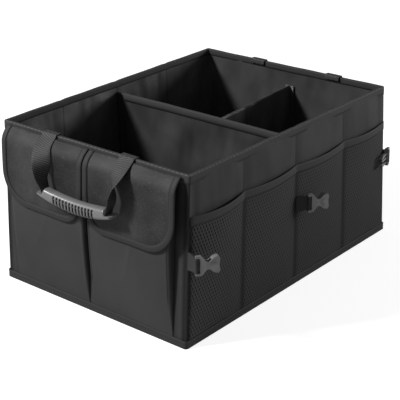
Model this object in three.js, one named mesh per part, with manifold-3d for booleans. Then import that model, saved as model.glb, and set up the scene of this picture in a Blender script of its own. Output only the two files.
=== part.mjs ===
// Collapsible fabric box with three compartments, two wall handles, front pouches and net side pockets.
// Millimetres. X runs across the box, the pouches face -Y, +Z is up, the origin is the centre of the base.

import * as THREE from "three";
import { mergeVertices } from "three/addons/utils/BufferGeometryUtils.js";
import Module from "manifold-3d";

const wasm = await Module();
wasm.setup();

// Box
const WIDTH = 430;
const LENGTH = 600;
const HEIGHT = 300;
const END_LEAN = 18;
const CORNER_RADIUS = 8;
const CORNER_STEPS = 4;
const GAP = 0.3;

// Wall layers, from the outer cloth inwards
const CLOTH = 0.8;
const BOARD = 3;
const PILLOW = 1;
const FOLD_SHARE = 0.52;
const FOLD_CLEARANCE = 1.5;

// Bindings and hem
const TAPE = 0.8;
const RIM_OUTER_DROP = 15;
const RIM_INNER_DROP = 12;
const HEM_HEIGHT = 14;
const HEM_TUCK = 5;

// Floor and dividers
const FLOOR_CLOTH = 1;
const BASE_BOARD = 4;
const DIVIDER = 4;
const DIVIDER_HEIGHT = 280;
const DIVIDER_TAPE_DROP = 14;
const DIVIDER_WING = 13;
const WING_CLOTH = 1.2;
const CROSS_DIVIDER = 3;
const CROSS_TOP_FRONT = 251;
const CROSS_TOP_REAR = 262;
const CROSS_FLANGE_WIDTH = 20;
const CROSS_FLANGE = 1.2;

// Front pouches and flaps
const POUCH_CLOTH = 1.2;
const POUCH_EDGE = 190;
const POUCH_MIDDLE_GAP = 9;
const POUCH_TOP = 268;
const POUCH_DEPTH_MIDDLE = 19;
const POUCH_DEPTH_EDGE = 16;
const POUCH_BULGE_POWER = 2.4;
const POUCH_CORNER = 5;
const FLAP_CLOTH = 1.2;
const FLAP_EDGE = 200;
const FLAP_MIDDLE_GAP = 4.4;
const FLAP_BOTTOM = 161;
const FLAP_RIM_DROP = 4.5;
const FLAP_FOLD_DROP = 15.6;
const FLAP_SHOULDER = POUCH_TOP + 1;
const FLAP_CURL = 2.5;
const FLAP_CORNER_HEIGHT = 60;
const FLAP_OUTER_CORNER = 58;
const FLAP_INNER_CORNER = 45;
const BINDING_WIDTH = 11;

// Net side pockets
const NET_THICKNESS = 0.6;
const NET_TOP = 230;
const NET_SAG = 2;
const NET_BULGES = [11, 8, 8, 8];
const NET_BULGE_POWER = 1.4;
const BAND = 0.8;
const BAND_HEIGHT = 15;

// Carrying handles
const WEBBING = 1.6;
const HANDLE_WEBBING_WIDTH = 33;
const STRAP_SPACING = 180;
const ANCHOR_INNER_DROP = 9;
const FRONT_GRIP_OUT = 41.5;
const FRONT_STRAP_CENTRE = -6;
const FRONT_SWAY = 9;
const REAR_GRIP_OUT = 19.5;
const REAR_STRAP_CENTRE = 12;
const REAR_SWAY = 0;
const GRIP_DROP = 95;
const GRIP_SAG = 8;
const GRIP_HALF_LENGTH = 87;
const GRIP_LIP_HALF_LENGTH = 72;
const GRIP_HALF_DEPTH = 10;
const GRIP_FLARE = 1;
const GRIP_ABOVE = 12;
const GRIP_BELOW = 13;
const GRIP_TIP_BELOW = 5;
const GRIP_STRAP_RISE = 2;
const FOLDED_STRAP_WIDTH = 17;
const FOLDED_STRAP = 3;
const GRIP_SLOTS = 13;
const GRIP_SLOT_PITCH = 7.5;
const GRIP_SLOT_WIDTH = 3.2;
const GRIP_SLOT_DEPTH = 4;
const GRIP_SLOT_HEIGHT = 14;

// Side-release buckles on webbing tabs
const TAB_WEBBING = 1.2;
const TAB_WIDTH = 25;
const TAB_ROOT_WIDTH = 31;
const BAR_RADIUS = 1.8;
const BAR_CLEARANCE = 0.4;
const BUCKLE_HEIGHT = 156;
const BUCKLE_WIDTH = 35;
const BUCKLE_THICKNESS = 10;
const BUCKLE_BAR_THICKNESS = 5;
const SOCKET_LENGTH = 38;
const SOCKET_WAIST = 23;
const SOCKET_MOUTH_WIDTH = 30;
const CAVITY_WIDTH = 23;
const CAVITY_THICKNESS = 6.8;
const CAVITY_DEPTH = 24;
const WINDOW_LENGTH = 9;
const BOSS_RISE = 0.9;
const PLUG_BASE_LENGTH = 12;
const PRONG_LENGTH = 25;
const PRONG_THICKNESS = 4.6;
const SLOT_LENGTH = 3.4;
const NET_SEAT = NET_THICKNESS + 4 * GAP;

// Worked-out layer places, as distances outwards from the outer cloth's face
const HALF_WIDTH = WIDTH / 2;
const BOARD_FACE = -CLOTH - GAP;
const BOARD_BACK = BOARD_FACE - BOARD;
const LINING_FACE = BOARD_BACK - GAP;
const LINING_BACK = LINING_FACE - CLOTH;
const TAPE_OUTSIDE = GAP + TAPE;
const TAPE_INSIDE = LINING_BACK - GAP - TAPE;
const WALL_BOTTOM = FLOOR_CLOTH + GAP;
const WALL_TOP = HEIGHT - TAPE - GAP;
const HEM_INNER = PILLOW + GAP + GAP;
const HEM_OUTER = HEM_INNER + TAPE;

const cloth = (name, color) => new THREE.MeshStandardMaterial({ name, color, roughness: 0.85, metalness: 0 });
const plastic = (name, color) => new THREE.MeshStandardMaterial({ name, color, roughness: 0.45, metalness: 0 });
const MATERIALS = {
  cover: () => cloth("oxford_cloth", 0x2e2e2f),
  board: () => cloth("wall_board", 0x3a3836),
  lining: () => cloth("coated_lining", 0x262627),
  tape: () => cloth("binding_tape", 0x343435),
  net: () => cloth("net", 0x222223),
  band: () => cloth("elastic_band", 0x2c2c2d),
  webbing: () => cloth("webbing", 0x4a4a4b),
  grip: () => plastic("moulded_grip", 0x7c7c7d),
  buckle: () => plastic("buckle_plastic", 0x6e6e70),
};

const organizer = new THREE.Group();

function addPiece(name, geometry, material, parent = organizer) {
  const mesh = new THREE.Mesh(geometry, material());
  mesh.name = name;
  parent.add(mesh);
  return mesh;
}

// Surfaces from point grids

function geometryFromIndex(points, index) {
  const geometry = new THREE.BufferGeometry();
  const positions = points.flatMap((point) => [point.x, point.y, point.z]);
  geometry.setAttribute("position", new THREE.Float32BufferAttribute(positions, 3));
  geometry.setIndex(faceOutwards(points, index));
  geometry.computeVertexNormals();
  return geometry;
}

// Six times the enclosed volume is the sum of a . (b x c) over the triangles
function faceOutwards(points, index) {
  let volume = 0;
  for (let i = 0; i < index.length; i += 3) {
    const [a, b, c] = [points[index[i]], points[index[i + 1]], points[index[i + 2]]];
    volume += a.dot(new THREE.Vector3().crossVectors(b, c));
  }
  if (volume >= 0) return index;
  const flipped = [];
  for (let i = 0; i < index.length; i += 3) flipped.push(index[i], index[i + 2], index[i + 1]);
  return flipped;
}

// A closed body through cross-sections of equal point count: capped, or joined end to start
function loft(sections, endless = false) {
  const count = sections[0].length;
  const index = [];
  const spans = endless ? sections.length : sections.length - 1;
  for (let row = 0; row < spans; row++) {
    const here = row * count;
    const there = ((row + 1) % sections.length) * count;
    for (let i = 0; i < count; i++) {
      const j = (i + 1) % count;
      index.push(here + i, here + j, there + j, here + i, there + j, there + i);
    }
  }
  if (!endless) {
    const last = (sections.length - 1) * count;
    for (const [i, j, k] of capTriangles(sections[0])) index.push(k, j, i);
    for (const [i, j, k] of capTriangles(sections.at(-1))) index.push(last + i, last + j, last + k);
  }
  return geometryFromIndex(sections.flat(), index);
}

// Triangles of a flat outline, wound the way the outline runs
function capTriangles(outline) {
  const normal = new THREE.Vector3();
  outline.forEach((point, i) => {
    const next = outline[(i + 1) % outline.length];
    normal.add(new THREE.Vector3().crossVectors(point, next));
  });
  normal.normalize();
  const seed = Math.abs(normal.x) < 0.8 ? new THREE.Vector3(1, 0, 0) : new THREE.Vector3(0, 1, 0);
  const across = new THREE.Vector3().crossVectors(normal, seed).normalize();
  const up = new THREE.Vector3().crossVectors(normal, across);
  const flat = outline.map((point) => new THREE.Vector2(point.dot(across), point.dot(up)));
  return THREE.ShapeUtils.triangulateShape(flat, []).map(([i, j, k]) => {
    const turn = (flat[j].x - flat[i].x) * (flat[k].y - flat[i].y);
    const back = (flat[j].y - flat[i].y) * (flat[k].x - flat[i].x);
    return turn > back ? [i, j, k] : [i, k, j];
  });
}

// A cloth sheet between two point grids of equal size, open or joined round its columns
function sheet(front, back, endless = false) {
  const rows = front.length;
  const columns = front[0].length;
  const index = [];
  const at = (side, row, column) => (side * rows + row) * columns + (column % columns);
  const quad = (a, b, c, d) => index.push(a, b, c, a, c, d);
  const spans = endless ? columns : columns - 1;
  for (let column = 0; column < spans; column++) {
    const next = column + 1;
    for (let row = 0; row < rows - 1; row++) {
      quad(at(0, row, column), at(0, row, next), at(0, row + 1, next), at(0, row + 1, column));
      quad(at(1, row, column), at(1, row + 1, column), at(1, row + 1, next), at(1, row, next));
    }
    const top = rows - 1;
    quad(at(1, 0, column), at(1, 0, next), at(0, 0, next), at(0, 0, column));
    quad(at(0, top, column), at(0, top, next), at(1, top, next), at(1, top, column));
  }
  if (!endless) {
    const end = columns - 1;
    for (let row = 0; row < rows - 1; row++) {
      quad(at(1, row, 0), at(0, row, 0), at(0, row + 1, 0), at(1, row + 1, 0));
      quad(at(0, row, end), at(1, row, end), at(1, row + 1, end), at(0, row + 1, end));
    }
  }
  return geometryFromIndex([...front.flat(), ...back.flat()], index);
}

// Boolean joins and cuts

function solid(geometry) {
  const bare = geometry.clone();
  bare.deleteAttribute("normal");
  bare.deleteAttribute("uv");
  const merged = mergeVertices(bare, 1e-4);
  const vertProperties = new Float32Array(merged.attributes.position.array);
  const triVerts = new Uint32Array(merged.index.array);
  return new wasm.Manifold(new wasm.Mesh({ numProp: 3, vertProperties, triVerts }));
}

function geometryFromSolid(body) {
  const mesh = body.getMesh();
  const geometry = new THREE.BufferGeometry();
  geometry.setAttribute("position", new THREE.BufferAttribute(new Float32Array(mesh.vertProperties), 3));
  geometry.setIndex(new THREE.BufferAttribute(new Uint32Array(mesh.triVerts), 1));
  geometry.computeVertexNormals();
  return geometry;
}

function boxSolid(sizeX, sizeY, sizeZ, x, y, z) {
  return solid(new THREE.BoxGeometry(sizeX, sizeY, sizeZ).translate(x, y, z));
}

// Places on the walls

// Half the box's length at a height: the two short walls lean in
const halfLength = (z) => LENGTH / 2 - (END_LEAN * z) / HEIGHT;

// A place on the walls: px and py pick the corner's centre or a share of the way to it, (nx, ny) is the way out
function wallPoint(place, z, out) {
  const x = place.px * (HALF_WIDTH - CORNER_RADIUS) + place.nx * (CORNER_RADIUS + out);
  const y = place.py * (halfLength(z) - CORNER_RADIUS) + place.ny * (CORNER_RADIUS + out);
  return new THREE.Vector3(x, y, z);
}

const BAY_EDGES = [-1, -FOLD_SHARE, 0, FOLD_SHARE, 1];

// Shares along a long wall with the bay each lies in and how far across that bay it is
function bayShares(steps) {
  const shares = [];
  for (let bay = 0; bay < 4; bay++) {
    for (let step = 0; step < steps; step++) {
      const across = step / steps;
      shares.push({ bay, across, share: THREE.MathUtils.lerp(BAY_EDGES[bay], BAY_EDGES[bay + 1], across) });
    }
  }
  shares.push({ bay: 3, across: 1, share: 1 });
  return shares;
}

// All the places round the box, anticlockwise from the front of the right wall
function wallLoop(panelSteps) {
  const places = [];
  const corner = (px, py, start) => {
    for (let step = 0; step <= CORNER_STEPS; step++) {
      const angle = start + (Math.PI / 2) * (step / CORNER_STEPS);
      places.push({ px, py, nx: Math.cos(angle), ny: Math.sin(angle), puff: 0 });
    }
  };
  const longWall = (side) => {
    const inner = bayShares(panelSteps).slice(1, -1);
    const along = inner.map(({ across, share }) => ({
      px: side, py: side * share, nx: side, ny: 0, puff: Math.sin(Math.PI * across),
    }));
    places.push(...along);
  };
  longWall(1);
  corner(1, 1, 0);
  corner(-1, 1, Math.PI / 2);
  longWall(-1);
  corner(-1, -1, Math.PI);
  corner(1, -1, (Math.PI * 3) / 2);
  return places;
}

// A closed band round the box whose section is given as [out, height] corners
function wallRing(section) {
  const places = wallLoop(1);
  return loft(places.map((place) => section.map(([out, z]) => wallPoint(place, z, out))), true);
}

// Outer cloth and lining: tubes of cloth, the outer one puffed a little between the folds

function outerCover() {
  const places = wallLoop(4);
  const heights = [WALL_BOTTOM, 60, 120, 180, 235, 260, WALL_TOP];
  const puffAt = (z) => PILLOW * Math.sin((Math.PI * (z - WALL_BOTTOM)) / (WALL_TOP - WALL_BOTTOM)) ** 0.5;
  const grid = (out) => heights.map((z) => places.map((place) => wallPoint(place, z, out(place, z))));
  const puff = (place, z) => (z === WALL_BOTTOM || z === WALL_TOP ? 0 : place.puff ** 0.6 * puffAt(z));
  return sheet(grid((place, z) => puff(place, z)), grid((place, z) => puff(place, z) - CLOTH), true);
}

function lining() {
  const places = wallLoop(1);
  const grid = (out) => [WALL_BOTTOM, WALL_TOP].map((z) => places.map((place) => wallPoint(place, z, out)));
  return sheet(grid(LINING_FACE), grid(LINING_BACK), true);
}

// Stiff boards between the two cloths

function wallBoard(from, to, fromShift, toShift) {
  const rect = (z) => {
    const corners = [[from, BOARD_BACK, fromShift], [to, BOARD_BACK, toShift], [to, BOARD_FACE, toShift], [from, BOARD_FACE, fromShift]];
    return corners.map(([place, out, shift]) => {
      const point = wallPoint(place, z, out);
      return point.add(new THREE.Vector3(-place.ny, place.nx, 0).multiplyScalar(shift));
    });
  };
  return loft([rect(WALL_BOTTOM), rect(WALL_TOP)]);
}

function addWallBoards() {
  for (const [sideName, side] of [["right", 1], ["left", -1]]) {
    for (let bay = 0; bay < 4; bay++) {
      const place = (share) => ({ px: side, py: share, nx: side, ny: 0 });
      const edges = [BAY_EDGES[bay], BAY_EDGES[bay + 1]];
      const near = edges[0] === -1 ? 0 : FOLD_CLEARANCE;
      const far = edges[1] === 1 ? 0 : -FOLD_CLEARANCE;
      const board = wallBoard(place(edges[0]), place(edges[1]), side * near, side * far);
      addPiece(`${sideName}_board_${bay + 1}`, board, MATERIALS.board);
    }
  }
  for (const [endName, end] of [["front", -1], ["rear", 1]]) {
    const place = (share) => ({ px: share, py: end, nx: 0, ny: end });
    addPiece(`${endName}_board`, wallBoard(place(-1), place(1), 0, 0), MATERIALS.board);
  }
}

// Binding over the rim, hem round the foot, and the bottom

function rimTape() {
  return wallRing([
    [TAPE_OUTSIDE, HEIGHT - RIM_OUTER_DROP],
    [TAPE_OUTSIDE, HEIGHT],
    [TAPE_INSIDE, HEIGHT],
    [TAPE_INSIDE, HEIGHT - RIM_INNER_DROP],
    [TAPE_INSIDE + TAPE, HEIGHT - RIM_INNER_DROP],
    [TAPE_INSIDE + TAPE, HEIGHT - TAPE],
    [GAP, HEIGHT - TAPE],
    [GAP, HEIGHT - RIM_OUTER_DROP],
  ]);
}

function hemTape() {
  return wallRing([[HEM_INNER, 0], [HEM_OUTER, 0], [HEM_OUTER, HEM_HEIGHT], [HEM_INNER, HEM_HEIGHT]]);
}

// A flat plate with round corners between two heights
function roundedPlate(left, right, front, rear, radius, bottom, thickness) {
  const shape = new THREE.Shape();
  shape.moveTo(left + radius, front);
  shape.lineTo(right - radius, front);
  shape.absarc(right - radius, front + radius, radius, -Math.PI / 2, 0);
  shape.lineTo(right, rear - radius);
  shape.absarc(right - radius, rear - radius, radius, 0, Math.PI / 2);
  shape.lineTo(left + radius, rear);
  shape.absarc(left + radius, rear - radius, radius, Math.PI / 2, Math.PI);
  shape.lineTo(left, front + radius);
  shape.absarc(left + radius, front + radius, radius, Math.PI, (Math.PI * 3) / 2);
  const plate = new THREE.ExtrudeGeometry(shape, { depth: thickness, bevelEnabled: false, curveSegments: 4 });
  return plate.translate(0, 0, bottom);
}

function addFloor() {
  const reach = HEM_INNER - GAP;
  const halfX = HALF_WIDTH + reach;
  const halfY = halfLength(FLOOR_CLOTH) + reach;
  const corner = CORNER_RADIUS + reach;
  addPiece("floor_cover", roundedPlate(-halfX, halfX, -halfY, halfY, corner, 0, FLOOR_CLOTH), MATERIALS.cover);
  const clearance = 1;
  const boardX = HALF_WIDTH + LINING_BACK - clearance;
  const boardY = halfLength(WALL_BOTTOM + BASE_BOARD) + LINING_BACK - clearance;
  const middle = DIVIDER / 2 + clearance;
  const boardCorner = 8;
  const frontBoard = roundedPlate(-boardX, boardX, -boardY, -middle, boardCorner, WALL_BOTTOM, BASE_BOARD);
  const rearBoard = roundedPlate(-boardX, boardX, middle, boardY, boardCorner, WALL_BOTTOM, BASE_BOARD);
  addPiece("base_board_front", frontBoard, MATERIALS.lining);
  addPiece("base_board_rear", rearBoard, MATERIALS.lining);
}

// Dividers: cloth-covered boards, the main one hung on cloth wings, the cross one on stitched flanges

function mainDivider() {
  const wallX = HALF_WIDTH + LINING_BACK - GAP;
  const wingX = wallX - DIVIDER_WING;
  const fullX = wingX - DIVIDER * 1.5;
  const thin = WING_CLOTH / 2;
  const thick = DIVIDER / 2;
  const half = [[wallX, thin], [wingX, thin], [fullX, thick]];
  const rear = [...half, ...half.toReversed().map(([x, y]) => [-x, y])];
  const outline = [...rear, ...rear.toReversed().map(([x, y]) => [x, -y])];
  const section = (z) => outline.map(([x, y]) => new THREE.Vector3(x, y, z));
  return { body: loft([section(WALL_BOTTOM), section(DIVIDER_HEIGHT - TAPE - GAP)]), tapeX: fullX };
}

function dividerTape(halfLengthX) {
  const inner = DIVIDER / 2 + GAP;
  const outer = inner + TAPE;
  const low = DIVIDER_HEIGHT - DIVIDER_TAPE_DROP;
  const high = DIVIDER_HEIGHT - TAPE;
  const outline = [
    [outer, low], [outer, DIVIDER_HEIGHT], [-outer, DIVIDER_HEIGHT], [-outer, low],
    [-inner, low], [-inner, high], [inner, high], [inner, low],
  ];
  const section = (x) => outline.map(([y, z]) => new THREE.Vector3(x, y, z));
  return loft([section(-halfLengthX), section(halfLengthX)]);
}

function crossDivider() {
  const front = DIVIDER / 2 + GAP;
  const bottom = WALL_BOTTOM + BASE_BOARD + GAP;
  const rearAt = (z) => halfLength(z) + LINING_BACK - GAP;
  const plate = CROSS_DIVIDER / 2;
  const flange = CROSS_FLANGE_WIDTH / 2;
  const outline = (rear) => [
    [-flange, front], [flange, front], [flange, front + CROSS_FLANGE], [plate, front + CROSS_FLANGE],
    [plate, rear - CROSS_FLANGE], [flange, rear - CROSS_FLANGE], [flange, rear], [-flange, rear],
    [-flange, rear - CROSS_FLANGE], [-plate, rear - CROSS_FLANGE], [-plate, front + CROSS_FLANGE],
    [-flange, front + CROSS_FLANGE],
  ];
  const low = outline(rearAt(bottom)).map(([x, y]) => new THREE.Vector3(x, y, bottom));
  const high = outline(rearAt(CROSS_TOP_REAR)).map(([x, y]) => {
    const share = (y - front) / (rearAt(CROSS_TOP_REAR) - front);
    return new THREE.Vector3(x, y, THREE.MathUtils.lerp(CROSS_TOP_FRONT, CROSS_TOP_REAR, share));
  });
  return loft([low, high]);
}

// Front pouches: deepest near the middle of the wall, flat at the hem

// How far a pouch's face stands off the wall at a place
function pouchDepth(x, z) {
  const rise = THREE.MathUtils.clamp((z - HEM_HEIGHT) / (POUCH_TOP - HEM_HEIGHT), 0, 1);
  const deepest = THREE.MathUtils.lerp(POUCH_DEPTH_MIDDLE, POUCH_DEPTH_EDGE, Math.abs(x) / POUCH_EDGE);
  return CLOTH + (deepest - CLOTH) * (1 - (1 - rise) ** POUCH_BULGE_POWER);
}

// A place in front of the front wall
const beforeFront = (x, z, out) => new THREE.Vector3(x, -halfLength(z) - out, z);

function pouchSection(side, z, inset, back) {
  const inner = POUCH_MIDDLE_GAP / 2 + inset;
  const outer = POUCH_EDGE - inset;
  const depthAt = (x) => GAP + pouchDepth(x, z) - inset;
  const corner = Math.min(POUCH_CORNER, depthAt(outer) * 0.6);
  const points = [[inner, back], [inner, depthAt(inner) - corner]];
  for (const [x, turn] of [[inner + corner, Math.PI], [outer - corner, Math.PI / 2]]) {
    for (let step = 1; step <= 3; step++) {
      const angle = turn - (Math.PI / 2) * (step / 3);
      points.push([x + corner * Math.cos(angle), depthAt(x) - corner + corner * Math.sin(angle)]);
    }
  }
  points.push([outer, back]);
  return points.map(([x, out]) => beforeFront(side * x, z, out));
}

function pouch(side) {
  const cavityFloor = HEM_HEIGHT + 12;
  const outerHeights = [HEM_TUCK, HEM_HEIGHT, 30, 60, 100, 150, 200, POUCH_TOP];
  const innerHeights = [cavityFloor, 40, 60, 100, 150, 200, POUCH_TOP];
  const body = solid(loft(outerHeights.map((z) => pouchSection(side, z, 0, GAP))));
  const innerSections = innerHeights.map((z) => pouchSection(side, z, POUCH_CLOTH, -1));
  const lid = innerSections.at(-1).map((point) => point.clone().setZ(POUCH_TOP + 5));
  return geometryFromSolid(body.subtract(solid(loft([...innerSections, lid]))));
}

// Flaps: sewn under the rim binding, over the pouch's mouth and down its face, with rounded lower corners

const FLAP_TOP = HEIGHT - FLAP_RIM_DROP;
const FLAP_FOLD = HEIGHT - FLAP_FOLD_DROP;
const FLAP_SEAT = TAPE_OUTSIDE + GAP + TAPE + GAP + FLAP_CLOTH / 2;
const FLAP_STACK = GAP * 2 + TAPE + GAP + FLAP_CLOTH / 2;

function flapOut(x, z) {
  const drop = THREE.MathUtils.clamp((z - FLAP_SHOULDER) / (FLAP_FOLD - FLAP_SHOULDER), 0, 1);
  const full = GAP + pouchDepth(x, z) + FLAP_STACK;
  return THREE.MathUtils.lerp(full, FLAP_SEAT, drop ** FLAP_CURL);
}

// A place on the flap, lifted off its middle surface along the surface's normal
function flapPoint(x, z, lift) {
  const step = 0.5;
  const slope = (flapOut(x, z + step) - flapOut(x, z - step)) / (2 * step);
  const scale = lift / Math.hypot(1, slope);
  return beforeFront(x, z - slope * scale, flapOut(x, z) + scale);
}

// The flap's outline from the top down one edge: [height, how far the edge has drawn in as a share of the corner]
function flapRows() {
  const rows = [FLAP_TOP, FLAP_FOLD + 0.5, 282, 278, 273, FLAP_SHOULDER, 258, 240].map((z) => [z, 0]);
  const cornerTop = FLAP_BOTTOM + FLAP_CORNER_HEIGHT;
  for (let step = 0; step <= 6; step++) {
    const angle = (Math.PI / 2) * (step / 6);
    rows.push([cornerTop - FLAP_CORNER_HEIGHT * Math.sin(angle), 1 - Math.cos(angle)]);
  }
  return rows;
}

const flapInnerEdge = (share) => FLAP_MIDDLE_GAP / 2 + FLAP_INNER_CORNER * share;
const flapOuterEdge = (share) => FLAP_EDGE - FLAP_OUTER_CORNER * share;

function flap(side) {
  const columns = 4;
  const grid = (lift) => flapRows().map(([z, share]) => {
    const row = [];
    for (let column = 0; column <= columns; column++) {
      const x = THREE.MathUtils.lerp(flapInnerEdge(share), flapOuterEdge(share), column / columns);
      row.push(flapPoint(side * x, z, lift));
    }
    return row;
  });
  return sheet(grid(FLAP_CLOTH / 2), grid(-FLAP_CLOTH / 2));
}

// Folded tape round the flap's free edge: a channel carried along the outline
function flapBinding(side) {
  const rows = flapRows();
  const path = [
    ...rows.map(([z, share]) => [flapOuterEdge(share), z]),
    ...rows.toReversed().map(([z, share]) => [flapInnerEdge(share), z]),
  ];
  const inside = FLAP_CLOTH / 2 + GAP;
  const outside = inside + TAPE;
  const channel = [
    [BINDING_WIDTH, outside], [-GAP - TAPE, outside], [-GAP - TAPE, -outside], [BINDING_WIDTH, -outside],
    [BINDING_WIDTH, -inside], [-GAP, -inside], [-GAP, inside], [BINDING_WIDTH, inside],
  ];
  const sections = path.map(([x, z], i) => {
    const before = path[Math.max(i - 1, 0)];
    const after = path[Math.min(i + 1, path.length - 1)];
    const inward = new THREE.Vector2(after[1] - before[1], before[0] - after[0]).normalize();
    return channel.map(([reach, lift]) => flapPoint(side * (x + inward.x * reach), z + inward.y * reach, lift));
  });
  return loft(sections);
}

// Net pockets along both long walls, sewn down at the folds and at the hem, each bay standing off a little

function netPoint(side, { bay, across, share }, rise, lift) {
  const sag = NET_SAG * Math.sin(Math.PI * across);
  const z = THREE.MathUtils.lerp(HEM_HEIGHT, NET_TOP - sag, Math.max(rise, 0)) + Math.min(rise, 0);
  const bulge = NET_BULGES[bay] * Math.sin(Math.PI * across) ** 0.8 * Math.max(rise, 0) ** NET_BULGE_POWER;
  const place = { px: side, py: share, nx: side, ny: 0 };
  return wallPoint(place, z, GAP + Math.max(bulge, rise > 0 ? PILLOW * 1.3 * Math.sin(Math.PI * across) ** 0.6 : 0) + lift);
}

// Where the elastic band starts, as a share of the net's height
const BAND_RISE = 1 - BAND_HEIGHT / (NET_TOP - HEM_HEIGHT);

function net(side) {
  const rises = [HEM_TUCK - HEM_HEIGHT, 0, 0.15, 0.35, 0.55, 0.75, BAND_RISE, 1];
  const shares = bayShares(6);
  const grid = (lift) => rises.map((rise) => shares.map((share) => netPoint(side, share, rise, lift)));
  return sheet(grid(NET_THICKNESS), grid(0));
}

function netBand(side) {
  const shares = bayShares(6);
  const lift = NET_THICKNESS + GAP;
  const grid = (out) => [BAND_RISE, 1].map((rise) => shares.map((share) => netPoint(side, share, rise, out)));
  return sheet(grid(lift + BAND), grid(lift));
}

// Handles: webbing sewn inside the rim, over it, and down to a moulded grip

const HINGE_OUT = TAPE_OUTSIDE + GAP + WEBBING / 2;
const HINGE_HEIGHT = HEIGHT + GAP + WEBBING / 2;

function strapAnchor(centreX) {
  const inner = TAPE_INSIDE - GAP;
  const low = HEIGHT + GAP;
  const outline = [
    [TAPE_OUTSIDE, low], [TAPE_OUTSIDE, low + WEBBING], [inner - WEBBING, low + WEBBING],
    [inner - WEBBING, HEIGHT - ANCHOR_INNER_DROP], [inner, HEIGHT - ANCHOR_INNER_DROP], [inner, low],
  ];
  const half = HANDLE_WEBBING_WIDTH / 2;
  const section = (x) => outline.map(([out, z]) => beforeFront(x, z, out));
  return loft([section(centreX - half), section(centreX + half)]);
}

// Height of the grip's middle line below the hinge
const gripLine = (x) => -GRIP_DROP + GRIP_SAG * (x / GRIP_HALF_LENGTH) ** 2;

// The webbing's stations from the left end to the right one. Down one side: place along the rim, share of the
// stand-off, height, twist in degrees, how far spread, how far folded, and share of the sway to the right
function strapStations(gripOut, sway) {
  const edge = STRAP_SPACING / 2;
  const lip = GRIP_LIP_HALF_LENGTH;
  const lipUp = gripLine(lip) + GRIP_STRAP_RISE;
  const down = [
    [edge, 0, 0, 0, 1, 0, 0],
    [edge, 0.075, -4.5, 1, 1, 0, 0],
    [edge, 0.3, -11.5, 5, 1, 0, 0.08],
    [edge - 0.5, 0.54, -19, 13, 1, 0, 0.3],
    [edge - 3, 0.76, -29, 29, 1, 0, 0.65],
    [edge - 6, 0.9, -40, 51, 1, 0, 0.92],
    [edge - 7, 0.97, -52, 69, 0.85, 0.1, 1],
    [edge - 8, 1, -65, 83, 0.5, 0.3, 1],
    [lip + 3.5, 1, lipUp + 6.5, 89, 0.12, 0.8, 1],
    [lip + 0.5, 1, lipUp + 0.5, 90, 0, 1, 1],
  ];
  const inGrip = [60, 40, 20, 0].map((x) => [x, 1, gripLine(x) + GRIP_STRAP_RISE, 90, 0, 1, 1]);
  const half = [...down, ...inGrip].map(([x, share, up, twist, spread, fold, swing]) => ({
    x,
    shift: sway * swing,
    out: gripOut * share,
    up,
    twist: THREE.MathUtils.degToRad(twist),
    width: THREE.MathUtils.lerp(FOLDED_STRAP_WIDTH, HANDLE_WEBBING_WIDTH, spread),
    thickness: THREE.MathUtils.lerp(WEBBING, FOLDED_STRAP, fold),
  }));
  const mirrored = half.slice(0, -1).toReversed();
  return [...half.map((station) => ({ ...station, x: -station.x, left: true })), ...mirrored];
}

// Sections of the webbing, square to its run, grown all round by a clearance
function strapSections(gripOut, sway, grow, subSteps = 2) {
  const stations = strapStations(gripOut, sway);
  const line = stations.map(({ x, shift, out, up }) => new THREE.Vector3(x + shift, -out, up));
  const curve = new THREE.CatmullRomCurve3(line);
  const acrossAt = ({ left, twist }) => new THREE.Vector3((left ? -1 : 1) * Math.cos(twist), -Math.sin(twist), 0);
  const sections = [];
  const steps = (stations.length - 1) * subSteps;
  for (let step = 0; step <= steps; step++) {
    const at = step / subSteps;
    const here = stations[Math.floor(at)];
    const next = stations[Math.min(Math.floor(at) + 1, stations.length - 1)];
    const share = at - Math.floor(at);
    const mid = curve.getPoint(step / steps);
    const run = curve.getTangent(step / steps);
    const across = acrossAt(here).lerp(acrossAt(next), share);
    across.addScaledVector(run, -run.dot(across)).normalize();
    const lift = new THREE.Vector3().crossVectors(run, across);
    const halfWidth = THREE.MathUtils.lerp(here.width, next.width, share) / 2 + grow;
    const halfThick = THREE.MathUtils.lerp(here.thickness, next.thickness, share) / 2 + grow;
    const corners = [[-1, -1], [1, -1], [1, 1], [-1, 1]];
    sections.push(corners.map(([u, v]) => mid.clone().addScaledVector(across, u * halfWidth).addScaledVector(lift, v * halfThick)));
  }
  return sections;
}

// The grip, drawn about its own middle: a rounded bar with a full belly, thin at the lower lips of its ends
function gripBlank(gripOut) {
  const sections = [];
  const stations = 20;
  for (let step = 0; step <= stations; step++) {
    const x = GRIP_HALF_LENGTH * (2 * (step / stations) - 1);
    const towardsEnd = (x / GRIP_HALF_LENGTH) ** 2;
    const depth = GRIP_HALF_DEPTH + GRIP_FLARE * towardsEnd;
    const below = THREE.MathUtils.lerp(GRIP_BELOW, GRIP_TIP_BELOW, towardsEnd);
    const section = [];
    for (let turn = 0; turn < 16; turn++) {
      const angle = (Math.PI * 2 * (turn + 0.5)) / 16;
      const round = (value) => Math.sign(value) * Math.abs(value) ** 0.75;
      const height = Math.sin(angle) > 0 ? GRIP_ABOVE : below;
      const up = gripLine(x) + height * round(Math.sin(angle));
      section.push(new THREE.Vector3(x, -gripOut - depth * round(Math.cos(angle)), up));
    }
    sections.push(section);
  }
  return solid(loft(sections));
}

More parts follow.
